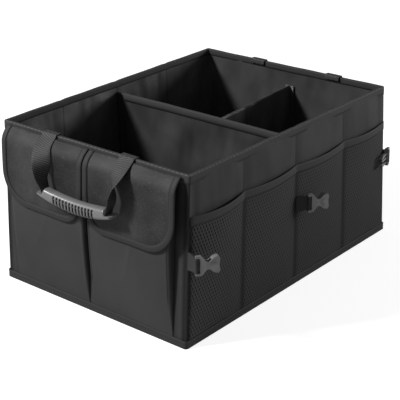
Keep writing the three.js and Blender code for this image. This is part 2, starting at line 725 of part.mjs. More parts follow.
// What opens the ends of the grip above the webbing, leaving the lower lips
function lipCut(gripOut, side) {
  const floorAt = (x) => gripLine(x) + GRIP_STRAP_RISE - FOLDED_STRAP / 2 - GAP;
  const far = GRIP_HALF_LENGTH + 5;
  const top = gripLine(far) + GRIP_ABOVE * 3;
  const points = [
    [GRIP_LIP_HALF_LENGTH, floorAt(GRIP_LIP_HALF_LENGTH)], [far, floorAt(far)], [far, top],
    [GRIP_LIP_HALF_LENGTH - 3, top], [GRIP_LIP_HALF_LENGTH + 1, floorAt(GRIP_LIP_HALF_LENGTH) + 6],
  ];
  const reach = GRIP_HALF_DEPTH + GRIP_FLARE + 5;
  const face = (out) => points.map(([x, up]) => new THREE.Vector3(side * x, -gripOut - out, up));
  return solid(loft([face(-reach), face(reach)]));
}

function grip(gripOut) {
  let body = gripBlank(gripOut);
  const nearGrip = ([corner]) => Math.abs(corner.x) < GRIP_HALF_LENGTH && corner.z < -GRIP_DROP + GRIP_ABOVE * 2;
  const channel = strapSections(gripOut, 0, GAP).filter(nearGrip);
  body = body.subtract(solid(loft(channel)));
  body = body.subtract(lipCut(gripOut, 1)).subtract(lipCut(gripOut, -1));
  for (let slot = 0; slot < GRIP_SLOTS; slot++) {
    const x = GRIP_SLOT_PITCH * (slot - (GRIP_SLOTS - 1) / 2);
    const z = gripLine(x) - GRIP_SLOT_HEIGHT / 2 + 1;
    for (const flank of [-1, 1]) {
      const y = -gripOut + flank * GRIP_HALF_DEPTH;
      body = body.subtract(boxSolid(GRIP_SLOT_WIDTH, GRIP_SLOT_DEPTH * 2, GRIP_SLOT_HEIGHT, x, y, z));
    }
  }
  return geometryFromSolid(body);
}

// A handle hung on one short wall; on the rear one it is turned half round
function addHandle(name, end, gripOut, centre, sway) {
  const turn = end < 0 ? 0 : Math.PI;
  for (const [sideName, side] of [["left", -1], ["right", 1]]) {
    const anchor = strapAnchor(-end * (centre + (side * STRAP_SPACING) / 2)).rotateZ(turn);
    addPiece(`${name}_anchor_${sideName}`, anchor, MATERIALS.webbing);
  }
  const handle = new THREE.Group();
  handle.position.set(centre, end * (halfLength(HINGE_HEIGHT) + HINGE_OUT), HINGE_HEIGHT);
  handle.rotation.z = turn;
  organizer.add(handle);
  addPiece(`${name}_handle_strap`, loft(strapSections(gripOut, sway, 0)), MATERIALS.webbing, handle);
  addPiece(`${name}_handle_grip`, grip(gripOut).translate(sway, 0, 0), MATERIALS.grip, handle);
}

// Buckle halves, each hung by its bar in the eye of a webbing tab
// Buckle frame: X away from the bar, Y through the thickness, Z along the bar

const EYE_INNER = BAR_RADIUS + BAR_CLEARANCE;
const EYE_OUTER = EYE_INNER + TAB_WEBBING;
const EYE_STEPS = 14;

// An outline in X and Z given thickness along Y
function slab(shape, thickness) {
  const body = new THREE.ExtrudeGeometry(shape, { depth: thickness, bevelEnabled: false, curveSegments: 6 });
  return solid(body.translate(0, 0, -thickness / 2).rotateX(Math.PI / 2));
}

// Keeps the thick part between two slopes: thin at the bar, full thickness from the shoulder on
function taperSolid(length) {
  const thin = BUCKLE_BAR_THICKNESS / 2;
  const thick = BUCKLE_THICKNESS / 2;
  const profile = [[-4, -thin], [4, -thin], [13, -thick], [length, -thick], [length, thick], [13, thick], [4, thin], [-4, thin]];
  const face = (z) => profile.map(([x, y]) => new THREE.Vector3(x, y, z));
  return solid(loft([face(-BUCKLE_WIDTH), face(BUCKLE_WIDTH)]));
}

// The webbing's slot and the round bar at the end of the frame
function withBar(body) {
  const slotWidth = TAB_WIDTH + 2 * GAP + 1;
  const slotEnd = BAR_RADIUS + SLOT_LENGTH;
  const open = boxSolid(slotEnd + 10, BUCKLE_THICKNESS * 2, slotWidth, (slotEnd - 10) / 2, 0, 0);
  const bar = new THREE.CylinderGeometry(BAR_RADIUS, BAR_RADIUS, slotWidth + 2, 12).rotateX(Math.PI / 2);
  return body.subtract(open).add(solid(bar));
}

function bossSolid(x, face) {
  const boss = new THREE.SphereGeometry(1, 14, 8).scale(8.5, BOSS_RISE * 2, 6.2);
  return solid(boss.translate(x, face * (BUCKLE_THICKNESS / 2 - BOSS_RISE), 0));
}

function socketHalf() {
  const frame = BUCKLE_WIDTH / 2;
  const waist = SOCKET_WAIST / 2;
  const mouth = SOCKET_MOUTH_WIDTH / 2;
  const length = SOCKET_LENGTH;
  const outline = new THREE.Shape();
  outline.moveTo(-BAR_RADIUS, -frame);
  outline.lineTo(6, -frame);
  outline.bezierCurveTo(11, -frame, 12, -waist, 19, -waist);
  outline.bezierCurveTo(25, -waist, 26, -mouth, length - 5, -mouth);
  outline.quadraticCurveTo(length, -mouth, length, -mouth + 5);
  outline.quadraticCurveTo(length - 2.5, 0, length, mouth - 5);
  outline.quadraticCurveTo(length, mouth, length - 5, mouth);
  outline.bezierCurveTo(26, mouth, 25, waist, 19, waist);
  outline.bezierCurveTo(12, waist, 11, frame, 6, frame);
  outline.lineTo(-BAR_RADIUS, frame);
  let body = slab(outline, BUCKLE_THICKNESS).intersect(taperSolid(length + 1));
  for (const face of [-1, 1]) body = body.add(bossSolid(length - 11, face));
  const cavityX = length - CAVITY_DEPTH / 2 + 2;
  body = body.subtract(boxSolid(CAVITY_DEPTH + 4, CAVITY_THICKNESS, CAVITY_WIDTH, cavityX, 0, 0));
  const windowX = length - CAVITY_DEPTH + WINDOW_LENGTH / 2 + 1;
  body = body.subtract(boxSolid(WINDOW_LENGTH, CAVITY_THICKNESS, BUCKLE_WIDTH, windowX, 0, 0));
  return geometryFromSolid(withBar(body));
}

function prongShape(side) {
  const prong = new THREE.Shape();
  const root = PLUG_BASE_LENGTH - 1;
  const tip = PLUG_BASE_LENGTH + PRONG_LENGTH;
  const trace = (x, z) => [x, side * z];
  prong.moveTo(...trace(root, 6.5));
  prong.bezierCurveTo(...trace(root + 9, 6.8), ...trace(tip - 12, 7.5), ...trace(tip - 7, 5.5));
  prong.lineTo(...trace(tip, 4.2));
  prong.quadraticCurveTo(...trace(tip + 0.5, 9), ...trace(tip - 5.5, 10.9));
  prong.quadraticCurveTo(...trace(tip - 9, 12), ...trace(tip - 11, 11.6));
  prong.lineTo(...trace(tip - 11, 9.4));
  prong.bezierCurveTo(...trace(root + 10, 10.2), ...trace(root + 6, 10.6), ...trace(root, 10.6));
  return prong;
}

function plugHalf() {
  const frame = BUCKLE_WIDTH / 2;
  const outline = new THREE.Shape();
  outline.moveTo(-BAR_RADIUS, -frame);
  outline.lineTo(7, -frame);
  outline.quadraticCurveTo(11, -frame + 1, PLUG_BASE_LENGTH, -frame + 5);
  outline.lineTo(PLUG_BASE_LENGTH, frame - 5);
  outline.quadraticCurveTo(11, frame - 1, 7, frame);
  outline.lineTo(-BAR_RADIUS, frame);
  let body = slab(outline, BUCKLE_THICKNESS).intersect(taperSolid(PLUG_BASE_LENGTH + 1));
  for (const side of [-1, 1]) body = body.add(slab(prongShape(side), PRONG_THICKNESS));
  const guide = new THREE.Shape();
  const tip = PLUG_BASE_LENGTH + PRONG_LENGTH - 2;
  guide.moveTo(PLUG_BASE_LENGTH - 1, -2.6);
  guide.lineTo(tip - 4, -2.2);
  guide.quadraticCurveTo(tip, -1.8, tip, 0);
  guide.quadraticCurveTo(tip, 1.8, tip - 4, 2.2);
  guide.lineTo(PLUG_BASE_LENGTH - 1, 2.6);
  body = body.add(slab(guide, PRONG_THICKNESS - 1));
  return geometryFromSolid(withBar(body));
}

// A doubled webbing tab: an eye round the bar and a strip to its seam, its end cut along the wall and leaning with it
function webbingTab(side, root, normal, lean) {
  const strip = TAB_WEBBING + GAP / 2;
  const towards = root.clone().normalize();
  const aside = new THREE.Vector2(-towards.y, towards.x);
  const foot = (ply) => {
    const edge = aside.clone().multiplyScalar(ply * strip);
    const reach = root.clone().sub(edge).dot(normal) / towards.dot(normal);
    return edge.addScaledVector(towards, reach);
  };
  const opening = Math.asin(strip / EYE_OUTER);
  const outline = [foot(-1), foot(1)];
  for (let step = 0; step <= EYE_STEPS; step++) {
    const angle = towards.angle() + opening + (2 * Math.PI - 2 * opening) * (step / EYE_STEPS);
    outline.push(new THREE.Vector2(Math.cos(angle), Math.sin(angle)).multiplyScalar(EYE_OUTER));
  }
  const shape = new THREE.Shape(outline);
  shape.holes.push(new THREE.Path().absarc(0, 0, EYE_INNER, 0, 2 * Math.PI, true));
  const tab = new THREE.ExtrudeGeometry(shape, { depth: 1, bevelEnabled: false, curveSegments: EYE_STEPS });
  tab.translate(0, 0, -0.5);
  const place = tab.attributes.position;
  const point = new THREE.Vector3();
  for (let i = 0; i < place.count; i++) {
    point.fromBufferAttribute(place, i);
    const away = point.x * towards.x + point.y * towards.y;
    const share = THREE.MathUtils.clamp((away - EYE_OUTER) / (root.length() - EYE_OUTER - strip), 0, 1);
    const z = point.z * THREE.MathUtils.lerp(TAB_WIDTH, TAB_ROOT_WIDTH, share);
    place.setXYZ(i, point.x, point.y + lean * z * share, z);
  }
  return side > 0 ? tab : mirrored(tab);
}

// The same body seen in the plane X = 0
function mirrored(geometry) {
  const place = geometry.attributes.position;
  for (let i = 0; i < place.count; i += 3) {
    const [x, y, z] = [place.getX(i), place.getY(i), place.getZ(i)];
    place.setXYZ(i, -place.getX(i + 1), place.getY(i + 1), place.getZ(i + 1));
    place.setXYZ(i + 1, -x, y, z);
    place.setX(i + 2, -place.getX(i + 2));
  }
  geometry.computeVertexNormals();
  return geometry;
}

// Where each half hangs: how far its bar lies past the end of the box or the middle seam and off the wall,
// and the way it points, in degrees from straight off its wall towards the rear. A tab with a sewn distance is
// sewn down that far behind its seam, on the net; the others go round the corner
const BUCKLES = [
  { name: "right_front_socket", half: socketHalf, side: 1, end: -1, past: 3.4, out: 21, heading: 57 },
  { name: "right_middle_socket", half: socketHalf, side: 1, end: 0, sewn: 3, past: 17, out: 17, heading: 63 },
  { name: "right_rear_plug", half: plugHalf, side: 1, end: 1, past: 8.4, out: 4.5, heading: -78 },
  { name: "left_front_socket", half: socketHalf, side: -1, end: -1, sewn: 1, past: -18, out: 12, heading: 75 },
  { name: "left_middle_socket", half: socketHalf, side: -1, end: 0, sewn: 3, past: 17, out: 17, heading: 63 },
  { name: "left_rear_plug", half: plugHalf, side: -1, end: 1, past: 8.4, out: 4.5, heading: -78 },
];

// Where a tab is sewn down, seen on the right wall
function tabRoot(end, sewn) {
  if (sewn) {
    const seam = wallPoint({ px: 1, py: end, nx: 1, ny: 0 }, BUCKLE_HEIGHT, NET_SEAT);
    return { at: seam.setY(seam.y + sewn), normal: new THREE.Vector2(1, 0) };
  }
  const normal = new THREE.Vector2(Math.SQRT1_2, end * Math.SQRT1_2);
  return { at: wallPoint({ px: 1, py: end, nx: normal.x, ny: normal.y }, BUCKLE_HEIGHT, GAP), normal };
}

function addBuckles() {
  for (const { name, half, side, end, sewn, past, out, heading } of BUCKLES) {
    const along = end === 0 ? past : end * (halfLength(BUCKLE_HEIGHT) + past);
    const { at, normal } = tabRoot(end, sewn);
    const root = new THREE.Vector2(at.x - HALF_WIDTH - out, at.y - along);
    const holder = new THREE.Group();
    holder.position.set(side * (HALF_WIDTH + out), along, BUCKLE_HEIGHT);
    organizer.add(holder);
    const body = addPiece(name, half(), MATERIALS.buckle, holder);
    const turn = THREE.MathUtils.degToRad(heading);
    body.rotation.z = side > 0 ? turn : Math.PI - turn;
    const lean = sewn ? 0 : (-end * END_LEAN) / HEIGHT;
    addPiece(`${name}_tab`, webbingTab(side, root, normal, lean), MATERIALS.webbing, holder);
  }
}

// Assembly

addPiece("outer_cover", outerCover(), MATERIALS.cover);
addPiece("lining", lining(), MATERIALS.lining);
addWallBoards();
addPiece("rim_tape", rimTape(), MATERIALS.tape);
addPiece("hem_tape", hemTape(), MATERIALS.tape);
addFloor();
const divider = mainDivider();
addPiece("main_divider", divider.body, MATERIALS.lining);
addPiece("main_divider_tape", dividerTape(divider.tapeX), MATERIALS.tape);
addPiece("cross_divider", crossDivider(), MATERIALS.lining);
for (const [sideName, side] of [["right", 1], ["left", -1]]) {
  addPiece(`${sideName}_pouch`, pouch(side), MATERIALS.cover);
  addPiece(`${sideName}_flap`, flap(side), MATERIALS.cover);
  addPiece(`${sideName}_flap_binding`, flapBinding(side), MATERIALS.tape);
  addPiece(`${sideName}_net`, net(side), MATERIALS.net);
  addPiece(`${sideName}_net_band`, netBand(side), MATERIALS.band);
}
addHandle("front", -1, FRONT_GRIP_OUT, FRONT_STRAP_CENTRE, FRONT_SWAY);
addHandle("rear", 1, REAR_GRIP_OUT, REAR_STRAP_CENTRE, REAR_SWAY);
addBuckles();

export default organizer;
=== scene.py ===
import math

import bmesh
import bpy
import numpy as np
from mathutils import Matrix, Vector


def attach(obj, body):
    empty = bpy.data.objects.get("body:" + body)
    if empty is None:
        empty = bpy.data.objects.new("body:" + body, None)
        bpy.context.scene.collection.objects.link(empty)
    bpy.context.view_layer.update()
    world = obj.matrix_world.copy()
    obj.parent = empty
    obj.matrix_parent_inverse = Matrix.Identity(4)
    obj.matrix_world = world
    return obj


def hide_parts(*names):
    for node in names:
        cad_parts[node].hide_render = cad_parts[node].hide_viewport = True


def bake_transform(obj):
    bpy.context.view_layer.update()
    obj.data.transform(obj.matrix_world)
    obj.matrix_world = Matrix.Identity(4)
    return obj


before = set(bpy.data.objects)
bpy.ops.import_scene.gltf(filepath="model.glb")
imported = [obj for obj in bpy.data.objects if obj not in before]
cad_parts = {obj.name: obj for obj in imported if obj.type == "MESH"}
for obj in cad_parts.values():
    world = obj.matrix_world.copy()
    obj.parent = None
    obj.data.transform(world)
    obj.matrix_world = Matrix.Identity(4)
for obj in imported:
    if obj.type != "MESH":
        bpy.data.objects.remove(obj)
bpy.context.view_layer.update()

scene = bpy.context.scene
scene.view_settings.view_transform = "Standard"

# The view: a long lens in front of the box and to its right, a little above the rim, as in the photograph.
# The angles in degrees, the distance and shifts in metres and the focal length in pixels come from fitting
# nine points of the box to it.

azimuth, elevation, roll = np.radians([40.408, 23.364, -1.027])
distance, shift_right, shift_up = 2.2869, -0.00541, 0.09786
focal_pixels, picture_pixels = 1190.96, 400.0

away = np.array([
    np.sin(azimuth) * np.cos(elevation), -np.cos(azimuth) * np.cos(elevation), np.sin(elevation),
])
level = np.array([np.cos(azimuth), np.sin(azimuth), 0.0])
upright = np.cross(away, level)
camera_right = np.cos(roll) * level + np.sin(roll) * upright
camera_up = -np.sin(roll) * level + np.cos(roll) * upright
camera_place = away * distance + camera_right * shift_right + camera_up * shift_up

camera = bpy.data.objects.new("camera", bpy.data.cameras.new("camera"))
camera.data.sensor_width = 36.0
camera.data.lens = focal_pixels * camera.data.sensor_width / picture_pixels
camera.matrix_world = Matrix(np.vstack([
    np.column_stack([camera_right, camera_up, away, camera_place]), [0.0, 0.0, 0.0, 1.0],
]).tolist())
scene.collection.objects.link(camera)
scene.camera = camera


# Studio light: a lamp high on the left of the pouches, one low on the right behind the box, a white room.
# The first falls on the front wall and into the box; the second grazes the long wall and shows its folds.

class Socket:
    """One output in a material's tree, or the tree alone. Its + - * and / add Math nodes."""

    def __init__(self, tree, output=None):
        self.tree = tree
        self.output = output

    def node(self, kind, inputs=(), output=0, **settings):
        """Adds a node of that type with those settings, then sets or links its sockets by name or number."""
        added = self.tree.nodes.new(kind)
        for key, value in settings.items():
            setattr(added, key, value)
        for key, value in dict(inputs).items():
            if isinstance(value, Socket):
                self.tree.links.new(value.output, added.inputs[key])
            else:
                added.inputs[key].default_value = value
        return Socket(self.tree, added.outputs[output])

    def math(self, operation, *values):
        """The result of one operation on Sockets and numbers."""
        return self.node("ShaderNodeMath", dict(enumerate(values)), operation=operation)

    def mix(self, share, first, second):
        """The colour at that share of the way from first to second, each a Socket or red, green and blue."""
        ends = [colour if isinstance(colour, Socket) else (*colour, 1.0) for colour in (first, second)]
        return self.node("ShaderNodeMix", {0: share, 6: ends[0], 7: ends[1]}, output=2, data_type="RGBA")

    def noise(self, place, scale, detail, roughness=0.5):
        """Soft noise between 0 and 1 at a place."""
        inputs = {"Vector": place, "Scale": scale, "Detail": detail, "Roughness": roughness}
        return self.node("ShaderNodeTexNoise", inputs, output="Fac")

    def bump(self, height, distance, strength, below=None):
        """The normal of a relief that is distance metres deep, laid over the relief below if it is given."""
        inputs = {"Height": height, "Distance": distance, "Strength": strength}
        if below is not None:
            inputs["Normal"] = below
        return self.node("ShaderNodeBump", inputs, output="Normal")

    def axes(self):
        """The x, y and z of a place, a Socket each."""
        split = self.node("ShaderNodeSeparateXYZ", {0: self}).output.node
        return [Socket(self.tree, output) for output in split.outputs]

    def __add__(self, other):
        return self.math("ADD", self, other)

    def __sub__(self, other):
        return self.math("SUBTRACT", self, other)

    def __rsub__(self, other):
        return self.math("SUBTRACT", other, self)

    def __mul__(self, other):
        return self.math("MULTIPLY", self, other)

    def __truediv__(self, other):
        return self.math("DIVIDE", self, other)


def lamp(name, place, aim, size, watts):
    """A square area lamp at place, turned towards aim."""
    light = bpy.data.lights.new(name, "AREA")
    light.size = size
    light.energy = watts
    holder = bpy.data.objects.new(name, light)
    holder.location = place
    holder.rotation_euler = (Vector(aim) - Vector(place)).to_track_quat("-Z", "Y").to_euler()
    scene.collection.objects.link(holder)


lamp("high_left_lamp", (-1.4, -2.15, 2.25), (0.0, 0.0, 0.15), 0.5, 120.0)
lamp("right_rear_lamp", (1.9, 2.6, 0.95), (0.0, 0.0, 0.15), 0.8, 58.0)

# The room is white to the camera and lights the object with 0.17 of that.
room = bpy.data.worlds.new("room")
room.use_nodes = True
scene.world = room
background = room.node_tree.nodes["Background"]
background.inputs["Color"].default_value = (1.0, 1.0, 1.0, 1.0)
seen_by_camera = Socket(room.node_tree).node("ShaderNodeLightPath")
room.node_tree.links.new((seen_by_camera * 0.83 + 0.17).output, background.inputs["Strength"])

floor_mesh = bpy.data.meshes.new("studio_floor")
floor_corners = [(x, y, -0.0005) for x, y in ((-6, -6), (6, -6), (6, 6), (-6, 6))]
floor_mesh.from_pydata(floor_corners, [], [(0, 1, 2, 3)])
studio_floor = bpy.data.objects.new("studio_floor", floor_mesh)
scene.collection.objects.link(studio_floor)

# The paper takes the object's shadow and glows for the camera alone, which keeps it near white.
white_paper = bpy.data.materials.new("white_paper")
white_paper.use_nodes = True
paper_shader = white_paper.node_tree.nodes["Principled BSDF"]
paper_shader.inputs["Base Color"].default_value = (0.5, 0.5, 0.5, 1.0)
paper_shader.inputs["Roughness"].default_value = 0.9
paper_shader.inputs["Specular IOR Level"].default_value = 0.0
paper_shader.inputs["Emission Strength"].default_value = 1.0
paper_tree = Socket(white_paper.node_tree)
paper_glow = paper_tree.mix(paper_tree.node("ShaderNodeLightPath"), (0.0, 0.0, 0.0), (0.80, 0.80, 0.80))
white_paper.node_tree.links.new(paper_glow.output, paper_shader.inputs["Emission Color"])
floor_mesh.materials.append(white_paper)


# Outer cloth: black oxford cloth sewn as a tube round the four walls. The long walls fold at three stitched
# seams, so their cloth sits puffed between the seams and drawn in along them. The short walls lean inwards.

WIDTH, LENGTH, HEIGHT = 430.0, 600.0, 300.0
END_LEAN = 18.0
CORNER_RADIUS = 3.5
CORNER_STEPS = 8
FOLDS = np.array([-1.0, -0.52, 0.0, 0.52, 1.0])
FLAT_HALF_WALL = 280.0
CLOTH_THICKNESS = 0.8
WALL_BOTTOM, WALL_TOP = 1.3, 298.9


def half_length(z):
    """Half the box's length at height z: the short walls lean in evenly."""
    return LENGTH / 2 - END_LEAN * z / HEIGHT


def wall_places(bay_steps, end_steps):
    """Columns round the box from the front of the right wall, anticlockwise. Each has its corner share
    (px, py), outward direction (nx, ny), share across its panel, bay from the front or -1, kind (0 long
    wall, 1 corner, 2 short wall) and way round in millimetres."""
    step = np.linspace(0.0, 1.0, bay_steps, endpoint=False)
    share = (FOLDS[:-1, None] + np.diff(FOLDS)[:, None] * step).ravel()
    across = np.tile(step, 4)
    bay = np.repeat(np.arange(4), bay_steps)
    end = np.linspace(1.0, -1.0, end_steps, endpoint=False)
    turn = np.linspace(0.0, np.pi / 2, CORNER_STEPS, endpoint=False)
    one, none = np.ones, np.zeros
    parts = []
    for side in (1.0, -1.0):
        long_wall = [side * one(share.size), side * share, side * one(share.size), none(share.size)]
        from_front = bay if side > 0 else 3 - bay
        parts.append([*long_wall, across, from_front, none(share.size)])
        for corner in (0, 1):
            angle = turn + np.pi / 2 * corner + (0.0 if side > 0 else np.pi)
            px, py = (side, side) if corner == 0 else (-side, side)
            parts.append([
                px * one(turn.size), py * one(turn.size), np.cos(angle), np.sin(angle),
                none(turn.size), -one(turn.size), one(turn.size),
            ])
            if corner == 0:
                parts.append([
                    side * end, side * one(end.size), none(end.size), side * one(end.size),
                    (1.0 - end) / 2.0, -one(end.size), 2.0 * one(end.size),
                ])
    px, py, nx, ny, across, bay, kind = [np.concatenate(column) for column in zip(*parts)]
    x = px * (WIDTH / 2 - CORNER_RADIUS) + nx * CORNER_RADIUS
    y = py * (half_length(HEIGHT / 2) - CORNER_RADIUS) + ny * CORNER_RADIUS
    way = np.hypot(np.roll(x, -1) - x, np.roll(y, -1) - y)
    return {
        "px": px, "py": py, "nx": nx, "ny": ny, "across": across, "bay": bay, "kind": kind,
        "round": np.concatenate([[0.0], np.cumsum(way)]),
    }


def fold_columns(places):
    """The columns at the three fold seams of each long wall."""
    at_seam = (places["kind"] == 0) & (places["across"] == 0.0) & (np.abs(places["py"]) < 0.9)
    return np.flatnonzero(at_seam)


def fold_distance(places):
    """How many millimetres each column of a long wall lies from the nearer end of its bay."""
    bay_length = np.diff(FOLDS)[places["bay"].astype(int) % 4] * FLAT_HALF_WALL
    return np.minimum(places["across"], 1.0 - places["across"]) * bay_length


def together(*values):
    """Broadcasts the values against each other and stacks them as the coordinates of one grid of points."""
    return np.stack(np.broadcast_arrays(*values), axis=-1)


def on_wall(places, z, out):
    """Points at heights z, out millimetres off the wall's outer face: corner centre plus the way out."""
    reach = np.maximum(CORNER_RADIUS + out, 1.0)
    x = places["px"] * (WIDTH / 2 + out - reach) + places["nx"] * reach
    y = places["py"] * (half_length(z) + out - reach) + places["ny"] * reach
    return together(x, y, z + 0.0 * x)


def ripples(u, v, length, seed, bias=1.0):
    """Sum of fourteen sine waves about length millimetres long with random directions and phases, scaled to
    about 1. A bias above 1 stretches the waves along v, so that they read as upright folds."""
    waves = 14
    draw = np.random.default_rng(seed)
    heading = draw.uniform(0.0, np.pi, waves)[:, None, None]
    wave = length * draw.uniform(0.6, 1.7, waves)[:, None, None]
    phase = draw.uniform(0.0, 2 * np.pi, waves)[:, None, None]
    u, v = np.broadcast_arrays(np.atleast_2d(u), np.atleast_2d(v))
    heights = np.sin(2 * np.pi * (u * np.cos(heading) + v / bias * np.sin(heading)) / wave + phase)
    return heights.sum(axis=0) / 4.4


def creases(u, v, length, seed, bias=1.0):
    """Narrow ridges where a sum of waves crosses zero: one less its size, cubed."""
    return np.clip(1.0 - np.abs(ripples(u, v, length, seed, bias)) * 1.6, 0.0, 1.0) ** 3


def closed_sheet(front, back, uv, endless=False):
    """Cloth between two grids of points: both faces and the edges. Endless cloth joins its last column to
    its first. uv is a grid of places on the flat cloth in metres, a column longer where it is endless."""
    rows, columns = front.shape[:2]
    spans = columns if endless else columns - 1
    row, column = np.meshgrid(np.arange(rows - 1), np.arange(spans), indexing="ij")
    row, column = row.ravel(), column.ravel()

    def ids(side, r, c):
        """Numbers of the points at rows r and columns c, side 0 for front and 1 for back."""
        return side * rows * columns + r * columns + c % columns

    def spots(r, c):
        """Numbers of the places on the flat cloth at rows r and columns c."""
        return r * uv.shape[1] + c

    ring = [(row, column), (row, column + 1), (row + 1, column + 1), (row + 1, column)]
    quads, marks = [], []
    for side, loop in ((0, ring), (1, ring[::-1])):
        quads.append(np.stack([ids(side, r, c) for r, c in loop], 1))
        marks.append(np.stack([spots(r, c) for r, c in loop], 1))
    along = np.arange(spans)
    for edge, flip in ((0, False), (rows - 1, True)):
        here = np.full(spans, edge)
        loop = [(1, along), (1, along + 1), (0, along + 1), (0, along)]
        loop = loop[::-1] if flip else loop
        quads.append(np.stack([ids(side, here, c) for side, c in loop], 1))
        marks.append(np.stack([spots(here, c) for side, c in loop], 1))
    if not endless:
        down = np.arange(rows - 1)
        for edge, flip in ((0, True), (columns - 1, False)):
            here = np.full(rows - 1, edge)
            loop = [(1, down), (0, down), (0, down + 1), (1, down + 1)]
            loop = loop if flip else loop[::-1]
            quads.append(np.stack([ids(side, r, here) for side, r in loop], 1))
            marks.append(np.stack([spots(r, here) for side, r in loop], 1))
    points = np.concatenate([front.reshape(-1, 3), back.reshape(-1, 3)])
    return points, np.concatenate(quads), uv.reshape(-1, 2)[np.concatenate(marks)]


def make_piece(name, parts, material, body, stands_for=()):
    """One object from surfaces given in millimetres as points, quads and their places on the flat cloth. The
    quads are turned over where they face inwards, and the piece rides on its body."""
    points, quads, uvs, start = [], [], [], 0
    for part_points, part_quads, part_uv in parts:
        points.append(part_points * 0.001)
        quads.append(part_quads + start)
        uvs.append(part_uv)
        start += len(part_points)
    points, quads, uvs = np.concatenate(points), np.concatenate(quads), np.concatenate(uvs)
    a, b, c, d = [points[quads[:, i]] for i in range(4)]
    if (np.cross(c - a, d - b) * (a + b + c + d)).sum() < 0.0:
        quads, uvs = quads[:, ::-1], uvs[:, ::-1]
    mesh = bpy.data.meshes.new(name)
    mesh.from_pydata(points.tolist(), [], quads.tolist())
    layer = mesh.uv_layers.new(name="UVMap")
    layer.data.foreach_set("uv", uvs.astype(np.float32).ravel())
    mesh.polygons.foreach_set("use_smooth", np.ones(len(quads), bool))
    mesh.materials.append(material)
    mesh.validate()
    piece = bpy.data.objects.new(name, mesh)
    scene.collection.objects.link(piece)
    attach(piece, body)
    if stands_for:
        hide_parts(*stands_for)
    return piece


def new_material(name, roughness, specular):
    """A material of constant roughness: the material, its shader and its empty tree."""
    made = bpy.data.materials.new(name)
    made.use_nodes = True
    shader = made.node_tree.nodes["Principled BSDF"]
    shader.inputs["Roughness"].default_value = roughness
    shader.inputs["Specular IOR Level"].default_value = specular
    return made, shader, Socket(made.node_tree)


def set_input(shader, key, value):
    """Links a socket to one input of the shader."""
    value.tree.links.new(value.output, shader.inputs[key])


def woven(tree, flat, solid, threads, relief, slack):
    """Plain weave on the flat cloth: the two thread waves multiplied, as a bump of relief metres. Below it
    lie the cloth's own soft creases, slack metres deep: noise drawn out upwards."""
    along, across, _ = flat.axes()
    warp = tree.math("SINE", along * (2 * math.pi * threads))
    weft = tree.math("SINE", across * (2 * math.pi * threads))
    drawn_out = tree.node("ShaderNodeVectorMath", {0: solid, 1: (1.0, 1.0, 0.45)}, operation="MULTIPLY")
    loose = tree.bump(tree.noise(drawn_out, 15.0, 1.5, 0.4), slack, 1.0)
    return tree.bump(warp * weft * 0.5 + 0.5, relief, 0.6, loose)


def near_seams(tree, along, seams):
    """How near a place is to the seams: the highest of the bell curves that stand across them. Each seam is
    its place along the cloth, its half width and its strength."""
    highest = None
    for place, half_width, strength in seams:
        off = tree.math("ABSOLUTE", along - place) / half_width
        near = tree.math("EXPONENT", off * off * -1.0) * strength
        highest = near if highest is None else tree.math("MAXIMUM", highest, near)
    return highest


# Colours of the grain's light specks, of the painted shadow along the seams and of the painted shadow behind
# the net.
SPECK, SEAM_SHADOW, NET_SHADOW = (0.16, 0.16, 0.162), (0.004, 0.004, 0.004), (0.003, 0.003, 0.003)


def cloth_material(name, dark, light, roughness, threads=900.0, relief=0.0002, specular=0.35, seams=(),
                   under_net=None, slack=0.0, grain=0.0):
    """Dark woven cloth with a fine weave of threads to the metre, soft creases slack metres deep and light
    specks as strong as grain. Its colour wanders in soft clouds between dark and light: uneven tone, and
    where that range is wide, painted sheen patches. Painted shade darkens it along its upright seams, and on
    the long walls below the height under_net, behind the net."""
    made, shader, tree = new_material(name, roughness, specular)
    flat = tree.node("ShaderNodeTexCoord", output="UV")
    solid = tree.node("ShaderNodeTexCoord", output="Object")
    # Soft clouds of colour: uneven tone, and painted sheen patches where dark and light lie far apart.
    shade = tree.mix(tree.noise(solid, 9.0, 4.0) * 2.4 - 0.7, dark, light)
    if grain:
        speck = tree.math("MAXIMUM", tree.noise(solid, 420.0, 2.0) - 0.5, 0.0) * grain
        shade = tree.mix(speck, shade, SPECK)
    # Painted shade along the upright seams: a bell curve of darkness across each.
    if seams:
        along, _, _ = flat.axes()
        shade = tree.mix(near_seams(tree, along, seams), shade, SEAM_SHADOW)
    # Painted shade behind the net: the long walls' cloth is darkened below the net's top.
    if under_net:
        x, _, z = solid.axes()
        wall_face = WIDTH / 2 * 0.001 - 0.0003
        on_long_wall = tree.math("GREATER_THAN", tree.math("ABSOLUTE", x), wall_face)
        covered = on_long_wall * tree.math("LESS_THAN", z, under_net)
        shade = tree.mix(covered * 0.7, shade, NET_SHADOW)
    set_input(shader, "Base Color", shade)
    set_input(shader, "Normal", woven(tree, flat, solid, threads, relief, slack))
    return made


OXFORD_DARK, OXFORD_LIGHT = (0.030, 0.030, 0.031), (0.042, 0.042, 0.043)
oxford_cloth = cloth_material("black_oxford_cloth", OXFORD_DARK, OXFORD_LIGHT, 0.72)

cover_places = wall_places(36, 60)
cover_round = cover_places["round"][:-1]
wall_folds = fold_columns(cover_places)
right_folds = wall_folds[cover_places["px"][wall_folds] > 0.0]
corner_middles = np.flatnonzero(cover_places["kind"] == 1).reshape(4, CORNER_STEPS)[:, CORNER_STEPS // 2]
corners = list(zip(cover_round[corner_middles] * 0.001, (1, -1, 1, -1)))

